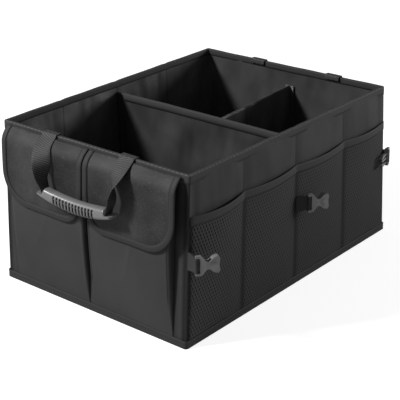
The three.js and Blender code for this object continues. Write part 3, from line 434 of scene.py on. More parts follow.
# The shadows of the seams, in metres: in the folds and behind those of the right wall, then beside each
# corner, where the sign leads onto the short wall, and last at both ends of the right wall.
wall_seams = [(place, 0.0026, 0.9) for place in cover_round[wall_folds] * 0.001]
wall_seams += [(place + 0.008, 0.012, 0.35) for place in cover_round[right_folds] * 0.001]
wall_seams += [(place + way * 0.005, 0.0055, 1.0) for place, way in corners]
wall_seams += [(place + way * 0.030, 0.0110, 0.6) for place, way in corners]
wall_seams += [(0.014, 0.008, 0.65), (corners[0][0] - 0.016, 0.008, 0.65)]
# Below 0.226 metres on the long walls, behind the net, this cloth carries painted shade.
wall_cloth = cloth_material(
    "seamed_oxford_cloth", OXFORD_DARK, OXFORD_LIGHT, 0.72, seams=wall_seams, under_net=0.226, slack=0.010,
)

cover_z = np.linspace(WALL_BOTTOM, WALL_TOP, 58)[:, None]
cover_free = np.sin(np.pi * (cover_z - WALL_BOTTOM) / (WALL_TOP - WALL_BOTTOM)) ** 0.5
on_long_wall = cover_places["kind"] == 0
puffed = np.where(on_long_wall, 3.0 * np.sin(np.pi * cover_places["across"]) ** 0.7, 0.25)
drawn_in = np.where(on_long_wall, np.exp(-(fold_distance(cover_places) / 2.5) ** 2), 0.0)
cover_out = cover_free * (puffed - 0.25 * drawn_in + 0.22 * ripples(cover_round, cover_z, 80.0, 3, 2.0))
cover_out = np.clip(cover_out, -0.25, 3.4)
cover_outside = on_wall(cover_places, cover_z, cover_out)
cover_inside = on_wall(cover_places, cover_z, cover_out - CLOTH_THICKNESS)
cover_uv = together(cover_places["round"] * 0.001, cover_z * 0.001)
cover = make_piece(
    "cover_cloth", [closed_sheet(cover_outside, cover_inside, cover_uv, endless=True)],
    wall_cloth, "organizer", ["outer_cover"],
)


# Lining: thin coated cloth on the inside of the walls, slightly shiny, with soft upright creases that the
# folding leaves in it. It is sewn in at the rim and along the fold seams.

LINING_FACE = -5.2

lining_places = wall_places(30, 80)
lining_round = lining_places["round"][:-1]
# Painted shade along the lining's fold seams.
lining_seams = [(place, 0.0016, 0.85) for place in lining_round[fold_columns(lining_places)] * 0.001]
# The lining's wide range of shade paints soft sheen patches into its colour.
coated_cloth = cloth_material(
    "coated_lining", (0.032, 0.032, 0.033), (0.066, 0.066, 0.067), 0.46, 1100.0, 0.0001, 0.5,
    seams=lining_seams, slack=0.026,
)
lining_z = np.linspace(WALL_BOTTOM, WALL_TOP, 60)[:, None]
lining_free = np.clip(np.sin(np.pi * (lining_z - WALL_BOTTOM) / (WALL_TOP - WALL_BOTTOM)), 0.0, 1.0) ** 0.4
from_seam = np.minimum(lining_places["across"], 1 - lining_places["across"])
from_seam = np.where(lining_places["kind"] == 0, from_seam, 0.5)
looseness = lining_free * np.clip(from_seam * 12.0, 0.25, 1.0) * (lining_places["kind"] != 1)
lining_in = looseness * (
    0.8 * ripples(lining_round, lining_z, 110.0, 11, 2.4)
    + 1.3 * creases(lining_round, lining_z, 150.0, 12, 2.8)
    + 0.7 * creases(lining_round, lining_z, 75.0, 13, 1.4)
)
lining_out = LINING_FACE - np.clip(lining_in + 0.5 * looseness, 0.0, 3.0)
lining_outside = on_wall(lining_places, lining_z, lining_out + CLOTH_THICKNESS)
lining_inside = on_wall(lining_places, lining_z, lining_out)
lining_uv = together(lining_places["round"] * 0.001, lining_z * 0.001)
lining = make_piece(
    "lining_cloth", [closed_sheet(lining_outside, lining_inside, lining_uv, endless=True)],
    coated_cloth, "organizer", ["lining"],
)


# Wall boards and base boards: stiff sheets hidden between the cloths, and cloth-covered boards on the floor.
# The bottom cloth closes the box from below.

board_material = cloth_material(
    "grey_board", (0.060, 0.058, 0.055), (0.075, 0.072, 0.068), 0.8, 300.0, 0.0001,
)
base_material = cloth_material("base_board_cloth", (0.016, 0.016, 0.017), (0.022, 0.022, 0.023), 0.6)
for name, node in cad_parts.items():
    if name.startswith("base_board"):
        material = base_material
    elif "_board" in name:
        material = board_material
    elif name == "floor_cover":
        material = oxford_cloth
    else:
        continue
    node.data.materials.clear()
    node.data.materials.append(material)


# Rim binding: folded tape sewn over the top edge of all four walls, a little wavy, and pinched at the folds.
# The same tape, flat, goes round the foot of the box.

def swept(profile, uv_along, uv_across, endless=False):
    """A closed profile carried along a path. profile holds the points of each station, an even number of
    them, as (stations, points, 3). The ends are closed with quads that run across the profile."""
    stations, count = profile.shape[:2]
    spans = stations if endless else stations - 1
    row, column = np.meshgrid(np.arange(spans), np.arange(count), indexing="ij")
    row, column = row.ravel(), column.ravel()

    def ids(r, c):
        """Numbers of the points at stations r and places c of the profile."""
        return (r % stations) * count + c % count

    ring = [(row, column), (row, column + 1), (row + 1, column + 1), (row + 1, column)]
    quads = [np.stack([ids(r, c) for r, c in ring], 1)]
    marks = [np.stack([np.stack([uv_along[r], uv_across[c]], -1) for r, c in ring], 1)]
    if not endless:
        half = np.arange(count // 2 - 1)
        for end, flip in ((0, True), (stations - 1, False)):
            loop = [half, half + 1, count - 2 - half, count - 1 - half]
            loop = loop[::-1] if flip else loop
            here = np.full(half.size, end)
            quads.append(np.stack([ids(here, c) for c in loop], 1))
            marks.append(np.stack([np.stack([uv_along[here], uv_across[c]], -1) for c in loop], 1))
    return profile.reshape(-1, 3), np.concatenate(quads), np.concatenate(marks)


def girth(section):
    """Places round a closed profile in metres, starting at its first point."""
    step = np.linalg.norm(np.roll(section, -1, 0) - section, axis=1)
    return np.concatenate([[0.0], np.cumsum(step)]) * 0.001


def stitched_tape(name, dark, light, rows, thread=0.0004, stitch=0.0036):
    """Dark ribbed tape with rows of light stitches, each row given as its place across the tape in metres.
    On the rim a row is partly stitching and partly a painted highlight. thread is half the sewing thread's
    width and stitch the length from one stitch to the next."""
    made, shader, tree = new_material(name, 0.7, 0.35)
    along, across, _ = tree.node("ShaderNodeTexCoord", output="UV").axes()
    ribbing = tree.math("SINE", along * (2 * math.pi * 700.0)) * 0.3
    dash = tree.math("GREATER_THAN", tree.math("SINE", along * (2 * math.pi / stitch)), -0.45)
    stitches = None
    for row in rows:
        near = tree.math("LESS_THAN", tree.math("ABSOLUTE", across - row), thread)
        stitches = near if stitches is None else tree.math("MAXIMUM", stitches, near)
    sewn = stitches * dash
    set_input(shader, "Base Color", tree.mix(sewn, dark, light))
    set_input(shader, "Normal", tree.bump(ribbing + sewn, 0.0003, 0.7))
    return made


# How far out from the wall and how high each point of the folded tape lies.
rim_section = np.array([
    [0.65, 285.0], [0.75, 290.0], [0.9, 297.5], [0.7, 299.2], [0.1, 300.0], [-2.6, 300.3],
    [-5.4, 300.0], [-6.1, 299.2], [-6.3, 297.5], [-6.35, 292.0], [-6.3, 288.0],
    [-5.6, 288.0], [-5.5, 298.3], [-5.0, 299.2], [-2.6, 299.5], [-0.2, 299.2], [0.3, 298.3], [0.3, 285.0],
])
# On the rim and on the divider's binding, the row of light stitches along the top outer edge is partly
# stitching and partly a painted highlight on that edge.
rim_tape = stitched_tape(
    "rim_binding", (0.033, 0.033, 0.034), (0.09, 0.09, 0.092), [0.0150], thread=0.0009, stitch=0.009,
)
rim_places = wall_places(30, 70)
rim_round = rim_places["round"][:-1]
rim_way = rim_places["round"] * 0.001
inside_long_wall = (rim_places["kind"] == 0) & (np.abs(rim_places["py"]) < 0.9)
pinch = np.where(inside_long_wall, np.exp(-(fold_distance(rim_places) / 5.0) ** 2), 0.0)
wave = 0.35 * ripples(rim_round, 0.0, 90.0, 21)[0] - 0.9 * pinch
lip = 0.15 * ripples(rim_round, 0.0, 60.0, 22)[0]
rim_out, rim_height = rim_section.T
rim_heights = rim_height + wave[:, None] * np.clip((rim_height - 285.0) / 10.0, 0.0, 1.0)
rim_outs = rim_out + lip[:, None] * (rim_height < 296.0)
rim_points = np.swapaxes(on_wall(rim_places, rim_heights.T, rim_outs.T), 0, 1)
make_piece(
    "rim_binding", [swept(rim_points, rim_way, girth(rim_section), endless=True)],
    rim_tape, "organizer", ["rim_tape"],
)

HEM_HEIGHT = 14.0
hem_section = np.array([
    [1.6, 0.0], [2.3, 0.0], [2.5, 1.0], [2.45, 6.0], [2.5, 11.0],
    [2.9, 12.2], [2.5, 13.6], [1.9, HEM_HEIGHT], [1.6, 13.4], [1.6, 6.0],
])
hem_tape = stitched_tape("hem_binding", (0.030, 0.030, 0.031), (0.05, 0.05, 0.051), [0.0115])
hem_out, hem_height = np.repeat(hem_section.T[:, :, None], rim_round.size, 2)
hem_points = np.swapaxes(on_wall(rim_places, hem_height, hem_out), 0, 1)
make_piece(
    "hem_binding", [swept(hem_points, rim_way, girth(hem_section), endless=True)],
    hem_tape, "organizer", ["hem_tape"],
)


# Main divider: a board in coated cloth across the box, held by soft cloth wings at the middle seams of the
# long walls, with its own binding along the top. Behind it stands the cross divider on sewn flanges.

BOARD_HALF, WING_HALF = 190.5, 196.5
DIVIDER_BOTTOM, DIVIDER_FACE = 5.6, 2.3
CROSS_FRONT_TOP, CROSS_REAR_TOP = 251.0, 262.0

divider_x = np.linspace(-209.5, 209.5, 150)[None, :]
divider_z = np.linspace(WALL_BOTTOM, 278.9, 60)[:, None]
divider_half = np.interp(np.abs(divider_x), [BOARD_HALF, WING_HALF], [2.0, 0.6])
off_wings = np.clip((196.0 - np.abs(divider_x)) / 20.0, 0.0, 1.0)
divider_free = np.clip((276.0 - divider_z) / 20.0, 0.0, 1.0) * off_wings


def divider_face(seed):
    """Loose cloth on one face of the divider: waves and creases that die out at its edges."""
    waves = 0.9 * ripples(divider_x, divider_z, 120.0, seed, 1.8)
    waves = waves + 0.4 * creases(divider_x, divider_z, 160.0, seed + 1, 3.0)
    return divider_half + divider_free * np.clip(waves + 0.4, 0.0, 2.2)


# The divider's cloth is the lining's coated cloth made darker, as painted shade, and its wide clouds paint
# soft sheen patches.
divider_cloth = cloth_material(
    "coated_divider", (0.022, 0.022, 0.023), (0.048, 0.048, 0.049), 0.46, 1100.0, 0.0001, 0.5, slack=0.030,
)
divider_front = together(divider_x, -divider_face(31), divider_z)
divider_back = together(divider_x, divider_face(35), divider_z)
divider_uv = together(divider_x * 0.001, divider_z * 0.001)
make_piece(
    "main_divider_cloth", [closed_sheet(divider_front, divider_back, divider_uv)],
    divider_cloth, "organizer", ["main_divider"],
)

tape_section = np.array([
    [3.1, 266.0], [3.15, 272.0], [3.0, 278.6], [2.4, 279.7], [0.0, 280.2], [-2.4, 279.7],
    [-3.0, 278.6], [-3.15, 272.0], [-3.1, 266.0], [-2.3, 266.0], [-2.3, 278.2],
    [-1.6, 279.1], [0.0, 279.4], [1.6, 279.1], [2.3, 278.2], [2.3, 266.0],
])
tape_x = np.linspace(-BOARD_HALF, BOARD_HALF, 60)
tape_wave = 0.3 * ripples(tape_x, 0.0, 90.0, 41)[0]
tape_points = together(tape_x[:, None], tape_section[:, 0], tape_section[:, 1] + tape_wave[:, None])
make_piece(
    "main_divider_binding", [swept(tape_points, tape_x * 0.001, girth(tape_section))],
    rim_tape, "organizer", ["main_divider_tape"],
)

cross_share = np.linspace(0.0, 1.0, 90)[None, :]
cross_rise = np.linspace(0.0, 1.0, 50)[:, None]


def cross_point(side_out):
    """The cross divider's face: from the main divider to the leaning rear wall, side_out off its middle."""
    top = CROSS_FRONT_TOP + (CROSS_REAR_TOP - CROSS_FRONT_TOP) * cross_share
    z = DIVIDER_BOTTOM + cross_rise * (top - DIVIDER_BOTTOM)
    y = DIVIDER_FACE + cross_share * (half_length(z) - 5.5 - DIVIDER_FACE)
    return together(side_out, y, z)


cross_free = np.sin(np.pi * cross_share) ** 0.5 * np.clip((1.0 - cross_rise) * 8.0, 0.0, 1.0)
cross_wave = 0.8 * ripples(cross_share * 290.0, cross_rise * 250.0, 110.0, 51, 1.6) + 0.4
cross_wave = cross_free * np.clip(cross_wave, 0.0, 1.8)
cross_uv = together(cross_share * 0.29, cross_rise * 0.25)
flange_x = np.linspace(-10.0, 10.0, 9)[None, :]
flange_z = np.linspace(DIVIDER_BOTTOM, CROSS_FRONT_TOP, 12)[:, None]
flange_uv = together(flange_x * 0.001, flange_z * 0.001)
front_flange = [together(flange_x, DIVIDER_FACE + out, flange_z) for out in (2.4, 3.4)]
rear_z = np.linspace(DIVIDER_BOTTOM, CROSS_REAR_TOP, 12)[:, None]
rear_flange = [together(flange_x, half_length(rear_z) - out, rear_z) for out in (8.6, 9.6)]
make_piece(
    "cross_divider_cloth",
    [
        closed_sheet(cross_point(1.5 + cross_wave), cross_point(-1.5 - cross_wave), cross_uv),
        closed_sheet(*front_flange, flange_uv),
        closed_sheet(*rear_flange, flange_uv),
    ],
    coated_cloth, "organizer", ["cross_divider"],
)


# Pouches: two gusseted pockets of oxford cloth on the front wall, deepest near the middle of the wall and
# flat where the hem tape holds them. Their mouths are under the flaps.

POUCH_BOTTOM, POUCH_TOP = 5.0, 268.0
POUCH_MIDDLE, POUCH_EDGE = 4.5, 187.0
POUCH_STAND_OFF = 0.3
DEEPEST_MIDDLE, DEEPEST_EDGE, HEM_DEPTH = 19.0, 16.0, 0.8
POUCH_ROUND = 5.0


def pouch_depth(x, z):
    """Stand-off of the pouch's face: grows from the hem upwards as one less a falling power."""
    rise = np.clip((z - HEM_HEIGHT) / (POUCH_TOP - HEM_HEIGHT), 0.0, 1.0)
    deepest = DEEPEST_MIDDLE + (DEEPEST_EDGE - DEEPEST_MIDDLE) * np.abs(x) / POUCH_EDGE
    return HEM_DEPTH + (deepest - HEM_DEPTH) * (1.0 - (1.0 - rise) ** 2.4)


def pouch_grid(side, inset, seed):
    """Across: up one gusset, round the corner, over the face, round the other corner and back to the wall.
    Waves and creases stand on the face as far as sines of its width and height leave it free."""
    z = np.linspace(POUCH_BOTTOM, POUCH_TOP, 56)[:, None]
    inner, outer = POUCH_MIDDLE + inset, POUCH_EDGE - inset
    face = np.linspace(0.0, 1.0, 70)[None, :]
    x_face = inner + POUCH_ROUND + (outer - inner - 2 * POUCH_ROUND) * face
    bend = np.linspace(0.0, np.pi / 2, 6)[None, :]
    depth_inner = POUCH_STAND_OFF + pouch_depth(inner, z) - inset
    depth_outer = POUCH_STAND_OFF + pouch_depth(outer, z) - inset
    radius_inner = np.minimum(POUCH_ROUND, depth_inner * 0.6)
    radius_outer = np.minimum(POUCH_ROUND, depth_outer * 0.6)
    height_share = np.clip((z - POUCH_BOTTOM) / (POUCH_TOP - POUCH_BOTTOM), 0.0, 1.0)
    free = np.sin(np.pi * face) ** 0.5 * np.sin(np.pi * height_share) ** 0.5
    waves = 0.8 * ripples(x_face, z, 90.0, seed, 2.2) + 0.7 * creases(x_face, z, 120.0, seed + 1, 2.6)
    gusset = np.linspace(0.0, 1.0, 5)[None, :-1]
    columns_x = [
        inner + 0.0 * gusset + 0.0 * z,
        inner + radius_inner * (1.0 - np.cos(bend)),
        x_face + 0.0 * z,
        outer - radius_outer * (1.0 - np.cos(bend[:, ::-1])),
        outer + 0.0 * gusset + 0.0 * z,
    ]
    columns_out = [
        POUCH_STAND_OFF + (depth_inner - radius_inner - POUCH_STAND_OFF) * gusset,
        depth_inner - radius_inner * (1.0 - np.sin(bend)),
        POUCH_STAND_OFF + pouch_depth(x_face, z) - inset + free * waves,
        depth_outer - radius_outer * (1.0 - np.sin(bend[:, ::-1])),
        POUCH_STAND_OFF + (depth_outer - radius_outer - POUCH_STAND_OFF) * (1.0 - gusset - 0.25),
    ]
    x, out = np.concatenate(columns_x, 1), np.concatenate(columns_out, 1)
    return np.stack([side * x, -half_length(z) - out, z + 0.0 * x], -1)


for side_name, side, seed in (("right", 1.0, 61), ("left", -1.0, 65)):
    outside, inside = pouch_grid(side, 0.0, seed), pouch_grid(side, 1.2, seed)
    middle_row = outside[30]
    way_across = np.concatenate([[0.0], np.cumsum(np.linalg.norm(np.diff(middle_row, axis=0), axis=1))])
    pouch_uv = together(way_across * 0.001, outside[:, :1, 2] * 0.001)
    pouch = make_piece(
        f"{side_name}_pouch_cloth", [closed_sheet(outside, inside, pouch_uv)],
        oxford_cloth, "organizer", [f"{side_name}_pouch"],
    )


# Flaps: two double-layer cloth flaps sewn along the rim over its binding, curving over the mouths of the
# pouches and hanging down their faces. Their lower corners are round and folded tape binds their free edges.

FLAP_TOP, FLAP_SHOULDER, FLAP_BOTTOM = 295.5, 268.0, 161.0
FLAP_EDGE, FLAP_MIDDLE = 200.0, 2.2
FLAP_CORNER_HEIGHT, FLAP_CORNER_INNER, FLAP_CORNER_OUTER = 60.0, 45.0, 58.0
FLAP_HALF_THICKNESS = 0.6


def flap_out(x, z):
    """Stand-off of the flap's middle: the pouch's plus the layers, falling above the shoulder as a power."""
    drop = np.clip((z - FLAP_SHOULDER) / (FLAP_TOP - FLAP_SHOULDER), 0.0, 1.0) ** 2.2
    full = POUCH_STAND_OFF + pouch_depth(x, z) + 2.3
    return full + (3.1 - full) * drop


def flap_sway(x, z):
    """Slow waves of the hanging cloth, none at the sewn top."""
    hanging = np.clip((FLAP_SHOULDER - z) / 60.0, 0.0, 1.0)
    return 0.9 * hanging * (0.6 + ripples(x, z, 130.0, 71, 1.5)).clip(0.0, 2.0)


def flap_point(side, x, z, lift):
    """A point on the flap moved lift millimetres along the surface's normal."""
    signed = side * x
    slope = flap_out(signed, z + 0.5) - flap_out(signed, z - 0.5)
    scale = lift / np.hypot(1.0, slope)
    height = z - slope * scale
    out = flap_out(signed, z) + flap_sway(signed, z) + scale
    return np.stack([signed + 0.0 * z, -half_length(height) - out, height + 0.0 * x], -1)


def flap_outline(steps_top, steps_corner):
    """Heights down the flap's edge and how far the rounded corner has drawn in, from 0 to 1."""
    corner_top = FLAP_BOTTOM + FLAP_CORNER_HEIGHT
    angle = np.linspace(0.0, np.pi / 2, steps_corner)
    curl = np.linspace(FLAP_TOP, FLAP_SHOULDER, steps_top)
    hanging = np.linspace(FLAP_SHOULDER, corner_top, 8)[1:-1]
    z = np.concatenate([curl, hanging, corner_top - FLAP_CORNER_HEIGHT * np.sin(angle)])
    drawn = np.concatenate([np.zeros(curl.size + hanging.size), 1.0 - np.cos(angle)])
    return z, drawn


# The grid of one flap, then the path of its binding: down the outer edge, along the bottom and up the inner.
flap_z, flap_drawn = flap_outline(14, 26)
flap_inner = FLAP_MIDDLE + FLAP_CORNER_INNER * flap_drawn
flap_outer = FLAP_EDGE - FLAP_CORNER_OUTER * flap_drawn
flap_across = np.linspace(0.0, 1.0, 50)[None, :]
x_grid = flap_inner[:, None] + (flap_outer - flap_inner)[:, None] * flap_across
z_grid = flap_z[:, None] + 0.0 * flap_across
flap_uv = np.stack([x_grid * 0.001, z_grid * 0.001], -1)

bottom = np.linspace(flap_outer[-1], flap_inner[-1], 14)[1:-1]
edge_x = np.concatenate([flap_outer, bottom, flap_inner[::-1]])
edge_z = np.concatenate([flap_z, np.full(bottom.size, flap_z[-1]), flap_z[::-1]])
tangent_x, tangent_z = np.gradient(edge_x), np.gradient(edge_z)
size = np.hypot(tangent_x, tangent_z)
inward_x, inward_z = tangent_z / size, -tangent_x / size

# How far in from the flap's edge and how far off the flap's middle each point of the folded binding lies.
binding_profile = np.array([
    [11.0, 1.45], [6.0, 1.7], [0.5, 1.7], [-0.7, 1.3], [-1.1, 0.5],
    [-1.1, -0.5], [-0.7, -1.3], [0.5, -1.7], [6.0, -1.7], [11.0, -1.45],
    [11.0, -0.9], [0.3, -0.9], [-0.3, -0.4], [-0.3, 0.4], [0.3, 0.9], [11.0, 0.9],
])
binding_x = edge_x[:, None] + inward_x[:, None] * binding_profile[:, 0]
binding_z = edge_z[:, None] + inward_z[:, None] * binding_profile[:, 0]
binding_way = np.concatenate([[0.0], np.cumsum(np.hypot(np.diff(edge_x), np.diff(edge_z)))]) * 0.001

# The flaps' cloth is the oxford cloth made darker overall, as painted shade for the straps' shadows on the
# flaps, and its wide clouds paint soft sheen patches. The light specks are the cloth's grain.
flap_cloth = cloth_material(
    "matte_flap_cloth", (0.004, 0.004, 0.004), (0.044, 0.044, 0.045), 0.66, 480.0, 0.0003,
    slack=0.016, grain=0.7,
)
flap_binding = stitched_tape("flap_binding", (0.024, 0.024, 0.025), (0.003, 0.003, 0.003), [0.0012, 0.0108])
for side_name, side in (("right", 1.0), ("left", -1.0)):
    flap_outside = flap_point(side, x_grid, z_grid, FLAP_HALF_THICKNESS)
    flap_inside = flap_point(side, x_grid, z_grid, -FLAP_HALF_THICKNESS)
    flap = make_piece(
        f"{side_name}_flap_cloth", [closed_sheet(flap_outside, flap_inside, flap_uv)],
        flap_cloth, "organizer", [f"{side_name}_flap"],
    )
    binding_points = flap_point(side, binding_x, binding_z, binding_profile[:, 1][None, :])
    make_piece(
        f"{side_name}_flap_edge", [swept(binding_points, binding_way, girth(binding_profile))],
        flap_binding, "organizer", [f"{side_name}_flap_binding"],
    )


# Net pockets: fine black net sewn down the fold seams and along the hem of both long walls, so each wall has
# four bays that stand off a little. A flat elastic band gathers the top edge.

NET_TOP, BAND_HEIGHT = 230.0, 15.0
NET_BULGES = np.array([11.0, 8.0, 8.0, 8.0])
NET_STEPS = 28
FLAT_HALF_LENGTH, FLAT_HEIGHT = 0.285, 0.216
THREAD_PITCH, THREAD_SLOPE = 0.0062, 0.48
BAND_RISE = 1.0 - BAND_HEIGHT / (NET_TOP - HEM_HEIGHT)

net_step = np.linspace(0.0, 1.0, NET_STEPS, endpoint=False)
net_share = np.append((FOLDS[:-1, None] + np.diff(FOLDS)[:, None] * net_step).ravel(), 1.0)
net_across = np.append(np.tile(net_step, 4), 1.0)
net_bulge = np.append(np.repeat(NET_BULGES, NET_STEPS), NET_BULGES[3])


def net_points(side, rise, lift):
    """The net at shares rise of its height: it sags between the seams and bulges as a power of a sine across
    each bay, never less than the cloth behind it. Below 0 it runs down behind the hem tape."""
    arch = np.sin(np.pi * net_across).clip(0.0)
    z = HEM_HEIGHT + (NET_TOP - 2.0 * arch - HEM_HEIGHT) * rise.clip(0.0) + rise.clip(None, 0.0) * 9.0
    lying = 3.6 * arch ** 0.7 * np.sin(np.pi * (z / HEIGHT)).clip(0.0) ** 0.5
    bulge = np.maximum(net_bulge * arch ** 0.8 * rise.clip(0.0) ** 1.4, lying * (rise > 0.0))
    y = net_share * (half_length(z) - CORNER_RADIUS)
    return together(side * (WIDTH / 2 + 0.3 + bulge + lift), y, z)


def black_net():
    """Fine black net: open between two families of slanting threads, and darker along the folds."""
    made, shader, tree = new_material("fine_black_net", 0.75, 0.3)
    along, up, _ = tree.node("ShaderNodeTexCoord", output="UV").axes()
    turns = 2 * math.pi / THREAD_PITCH
    rising = tree.math("SINE", (along + up * THREAD_SLOPE) * turns)
    falling = tree.math("SINE", (along - up * THREAD_SLOPE) * turns)
    hole = tree.math("GREATER_THAN", rising, 0.0) * tree.math("GREATER_THAN", falling, -0.45)
    near_fold = near_seams(tree, along, [(fold * FLAT_HALF_LENGTH, 0.006, 0.75) for fold in FOLDS])
    set_input(shader, "Base Color", tree.mix(near_fold, (0.052, 0.052, 0.053), (0.008, 0.008, 0.008)))
    set_input(shader, "Alpha", 1.0 - hole)
    return made


net_material = black_net()
band_material = stitched_tape("elastic_band", (0.034, 0.034, 0.035), (0.012, 0.012, 0.012), [0.001, 0.014])
net_rise = np.concatenate([[-1.0, -0.5], np.linspace(0.0, 1.0, 34)])[:, None]
net_uv = together(net_share * FLAT_HALF_LENGTH, net_rise * FLAT_HEIGHT)
band_rise = np.linspace(BAND_RISE, 1.004, 5)[:, None]
band_uv = together(net_share * FLAT_HALF_LENGTH, (band_rise - BAND_RISE) * FLAT_HEIGHT)
for side_name, side in (("right", 1.0), ("left", -1.0)):
    net = make_piece(
        f"{side_name}_net_cloth",
        [closed_sheet(net_points(side, net_rise, 0.5), net_points(side, net_rise, 0.1), net_uv)],
        net_material, "organizer", [f"{side_name}_net"],
    )
    make_piece(
        f"{side_name}_net_edge",
        [closed_sheet(net_points(side, band_rise, 1.6), net_points(side, band_rise, 0.8), band_uv)],
        band_material, "organizer", [f"{side_name}_net_band"],
    )


# Handles: one strap of ribbed webbing from inside the rim, over it and down, which turns on edge and folds
# together into a moulded grip, through the grip and back up to the rim. Front and rear are alike, but the
# rear one hangs closer to its wall, which has no pouches.

HINGE_OUT, HINGE_HEIGHT = 2.2, 301.1
GRIP_HALF_LENGTH, LIP_HALF_LENGTH = 87.0, 72.0
OPEN_WIDTH, FOLDED_WIDTH = 33.0, 17.0
OPEN_THICKNESS, FOLDED_THICKNESS = 1.6, 3.0


def grip_line(x):
    """The grip's middle below the hinge: a shallow parabola, lowest in the middle."""
    return -95.0 + 8.0 * (x / GRIP_HALF_LENGTH) ** 2


def smooth_path(stations, steps):
    """Values between the stations by the uniform Catmull-Rom rule, steps to each span."""
    padded = np.vstack([2 * stations[0] - stations[1], stations, 2 * stations[-1] - stations[-2]])
    t = np.linspace(0.0, 1.0, steps, endpoint=False)[None, :, None]
    a, b, c, d = [padded[i:len(stations) - 1 + i][:, None, :] for i in range(4)]
    bend = (2 * a - 5 * b + 4 * c - d) * t ** 2 + (3 * b - a - 3 * c + d) * t ** 3
    inside = 0.5 * (2 * b + (c - a) * t + bend)
    return np.vstack([inside.reshape(-1, stations.shape[1]), stations[-1]])


def strap_stations(grip_out, sway, side):
    """Down one side: x, stand-off, height below the hinge, twist in degrees, how far spread, how far folded.
    The first three rows are the end sewn inside the rim. A last column in the rows is the share of sway, by
    which the handle leans sideways lower down."""
    lip_up = grip_line(LIP_HALF_LENGTH) + 2.0
    rows = np.array([
        [90.0, -11.1, -8.0, 0.0, 1.0, 0.0, 0.0],
        [90.0, -10.4, 0.2, 0.0, 1.0, 0.0, 0.0],
        [90.0, -3.0, 0.4, 0.0, 1.0, 0.0, 0.0],
        [90.0, 0.0, 0.0, 0.0, 1.0, 0.0, 0.0],
        [90.0, 0.075 * grip_out, -4.5, 1.0, 1.0, 0.0, 0.0],
        [90.0, 0.3 * grip_out, -11.5, 5.0, 1.0, 0.0, 0.08],
        [89.5, 0.54 * grip_out, -19.0, 13.0, 1.0, 0.0, 0.3],
        [87.0, 0.76 * grip_out, -29.0, 29.0, 1.0, 0.0, 0.65],
        [84.0, 0.9 * grip_out, -40.0, 51.0, 1.0, 0.0, 0.92],
        [83.0, 0.97 * grip_out, -52.0, 69.0, 0.85, 0.1, 1.0],
        [82.0, grip_out, -65.0, 83.0, 0.5, 0.3, 1.0],
        [75.5, grip_out, lip_up + 6.5, 89.0, 0.12, 0.8, 1.0],
        [72.5, grip_out, lip_up + 0.5, 90.0, 0.0, 1.0, 1.0],
        [60.0, grip_out, grip_line(60.0) + 2.0, 90.0, 0.0, 1.0, 1.0],
        [30.0, grip_out, grip_line(30.0) + 2.0, 90.0, 0.0, 1.0, 1.0],
        [0.0, grip_out, grip_line(0.0) + 2.0, 90.0, 0.0, 1.0, 1.0],
    ])
    return np.column_stack([side * rows[:, 0] + sway * rows[:, 6], rows[:, 1:6]])


def place_handle(points, end, centre):
    """From the hinge's own frame to the front or the rear wall: the stand-off is added to the hinge's, and
    x is turned over at the rear."""
    x, out, up = points[..., 0], points[..., 1], points[..., 2]
    y = half_length(HINGE_HEIGHT) + HINGE_OUT + out
    return np.stack([centre + x * -end, end * y, HINGE_HEIGHT + up], -1)


def ribbed_webbing():
    """Ribbed webbing: slanting ribs, broken up by the waves of the threads across them. Its colour follows
    the relief, as painted shade in the grooves between the ribs.
    """
    made, shader, tree = new_material("ribbed_webbing", 0.62, 0.4)
    along, across, _ = tree.node("ShaderNodeTexCoord", output="UV").axes()
    ribs = tree.math("SINE", (along + across * 0.35) * (2 * math.pi / 0.0038))
    threads = tree.math("SINE", across * (2 * math.pi / 0.0026))
    relief = ribs * 0.4 + threads * ribs * 0.25 + 0.5
    # Painted shade: the colour darkens where the relief is low, in the grooves.
    set_input(shader, "Base Color", tree.mix(relief, (0.004, 0.004, 0.004), (0.066, 0.066, 0.067)))
    set_input(shader, "Normal", tree.bump(relief, 0.0006, 0.7))
    return made


# The webbing's section, once round it: a flat side, a half-round edge, the other side and the other edge.
# strap_u is in half widths. strap_v, and strap_round for how far an edge bulges, are in half thicknesses.
flat_side = np.linspace(-1.0, 1.0, 7)
edge_turn = np.linspace(0.0, np.pi, 5)[:-1]
whole_side, whole_edge = np.ones(flat_side.size - 1), np.ones(edge_turn.size)
strap_u = np.concatenate([flat_side[:-1], whole_edge, flat_side[:0:-1], -whole_edge])
strap_v = np.concatenate([-whole_side, -np.cos(edge_turn), whole_side, np.cos(edge_turn)])
strap_round = np.concatenate([0.0 * whole_side, np.sin(edge_turn), 0.0 * whole_side, -np.sin(edge_turn)])


def strap_surface(grip_out, sway, side):
    """Webbing carried down the stations: its width turns from along the rim to fore and aft."""
    path = smooth_path(strap_stations(grip_out, sway, side), 7)
    x, out, up, twist, spread, fold = path.T
    middle = np.stack([x, out, up], -1)
    run = np.gradient(middle, axis=0)
    run /= np.linalg.norm(run, axis=1, keepdims=True)
    angle = np.radians(twist)
    across = np.stack([side * np.cos(angle), np.sin(angle), 0.0 * angle], -1)
    across -= run * (run * across).sum(1, keepdims=True)
    across /= np.linalg.norm(across, axis=1, keepdims=True)
    lift = np.cross(run, across)
    half_width = (FOLDED_WIDTH + (OPEN_WIDTH - FOLDED_WIDTH) * spread) / 2 - OPEN_THICKNESS / 2
    half_thick = (OPEN_THICKNESS + (FOLDED_THICKNESS - OPEN_THICKNESS) * fold.clip(0.0, 1.0)) / 2
    u = strap_u * half_width[:, None] + strap_round * half_thick[:, None]
    v = strap_v * half_thick[:, None]
    points = middle[:, None, :] + across[:, None, :] * u[..., None] + lift[:, None, :] * v[..., None]
    way = np.concatenate([[0.0], np.cumsum(np.linalg.norm(np.diff(middle, axis=0), axis=1))]) * 0.001
    return points, way, np.append(strap_u, strap_u[0]) * (OPEN_WIDTH / 2 * 0.001)


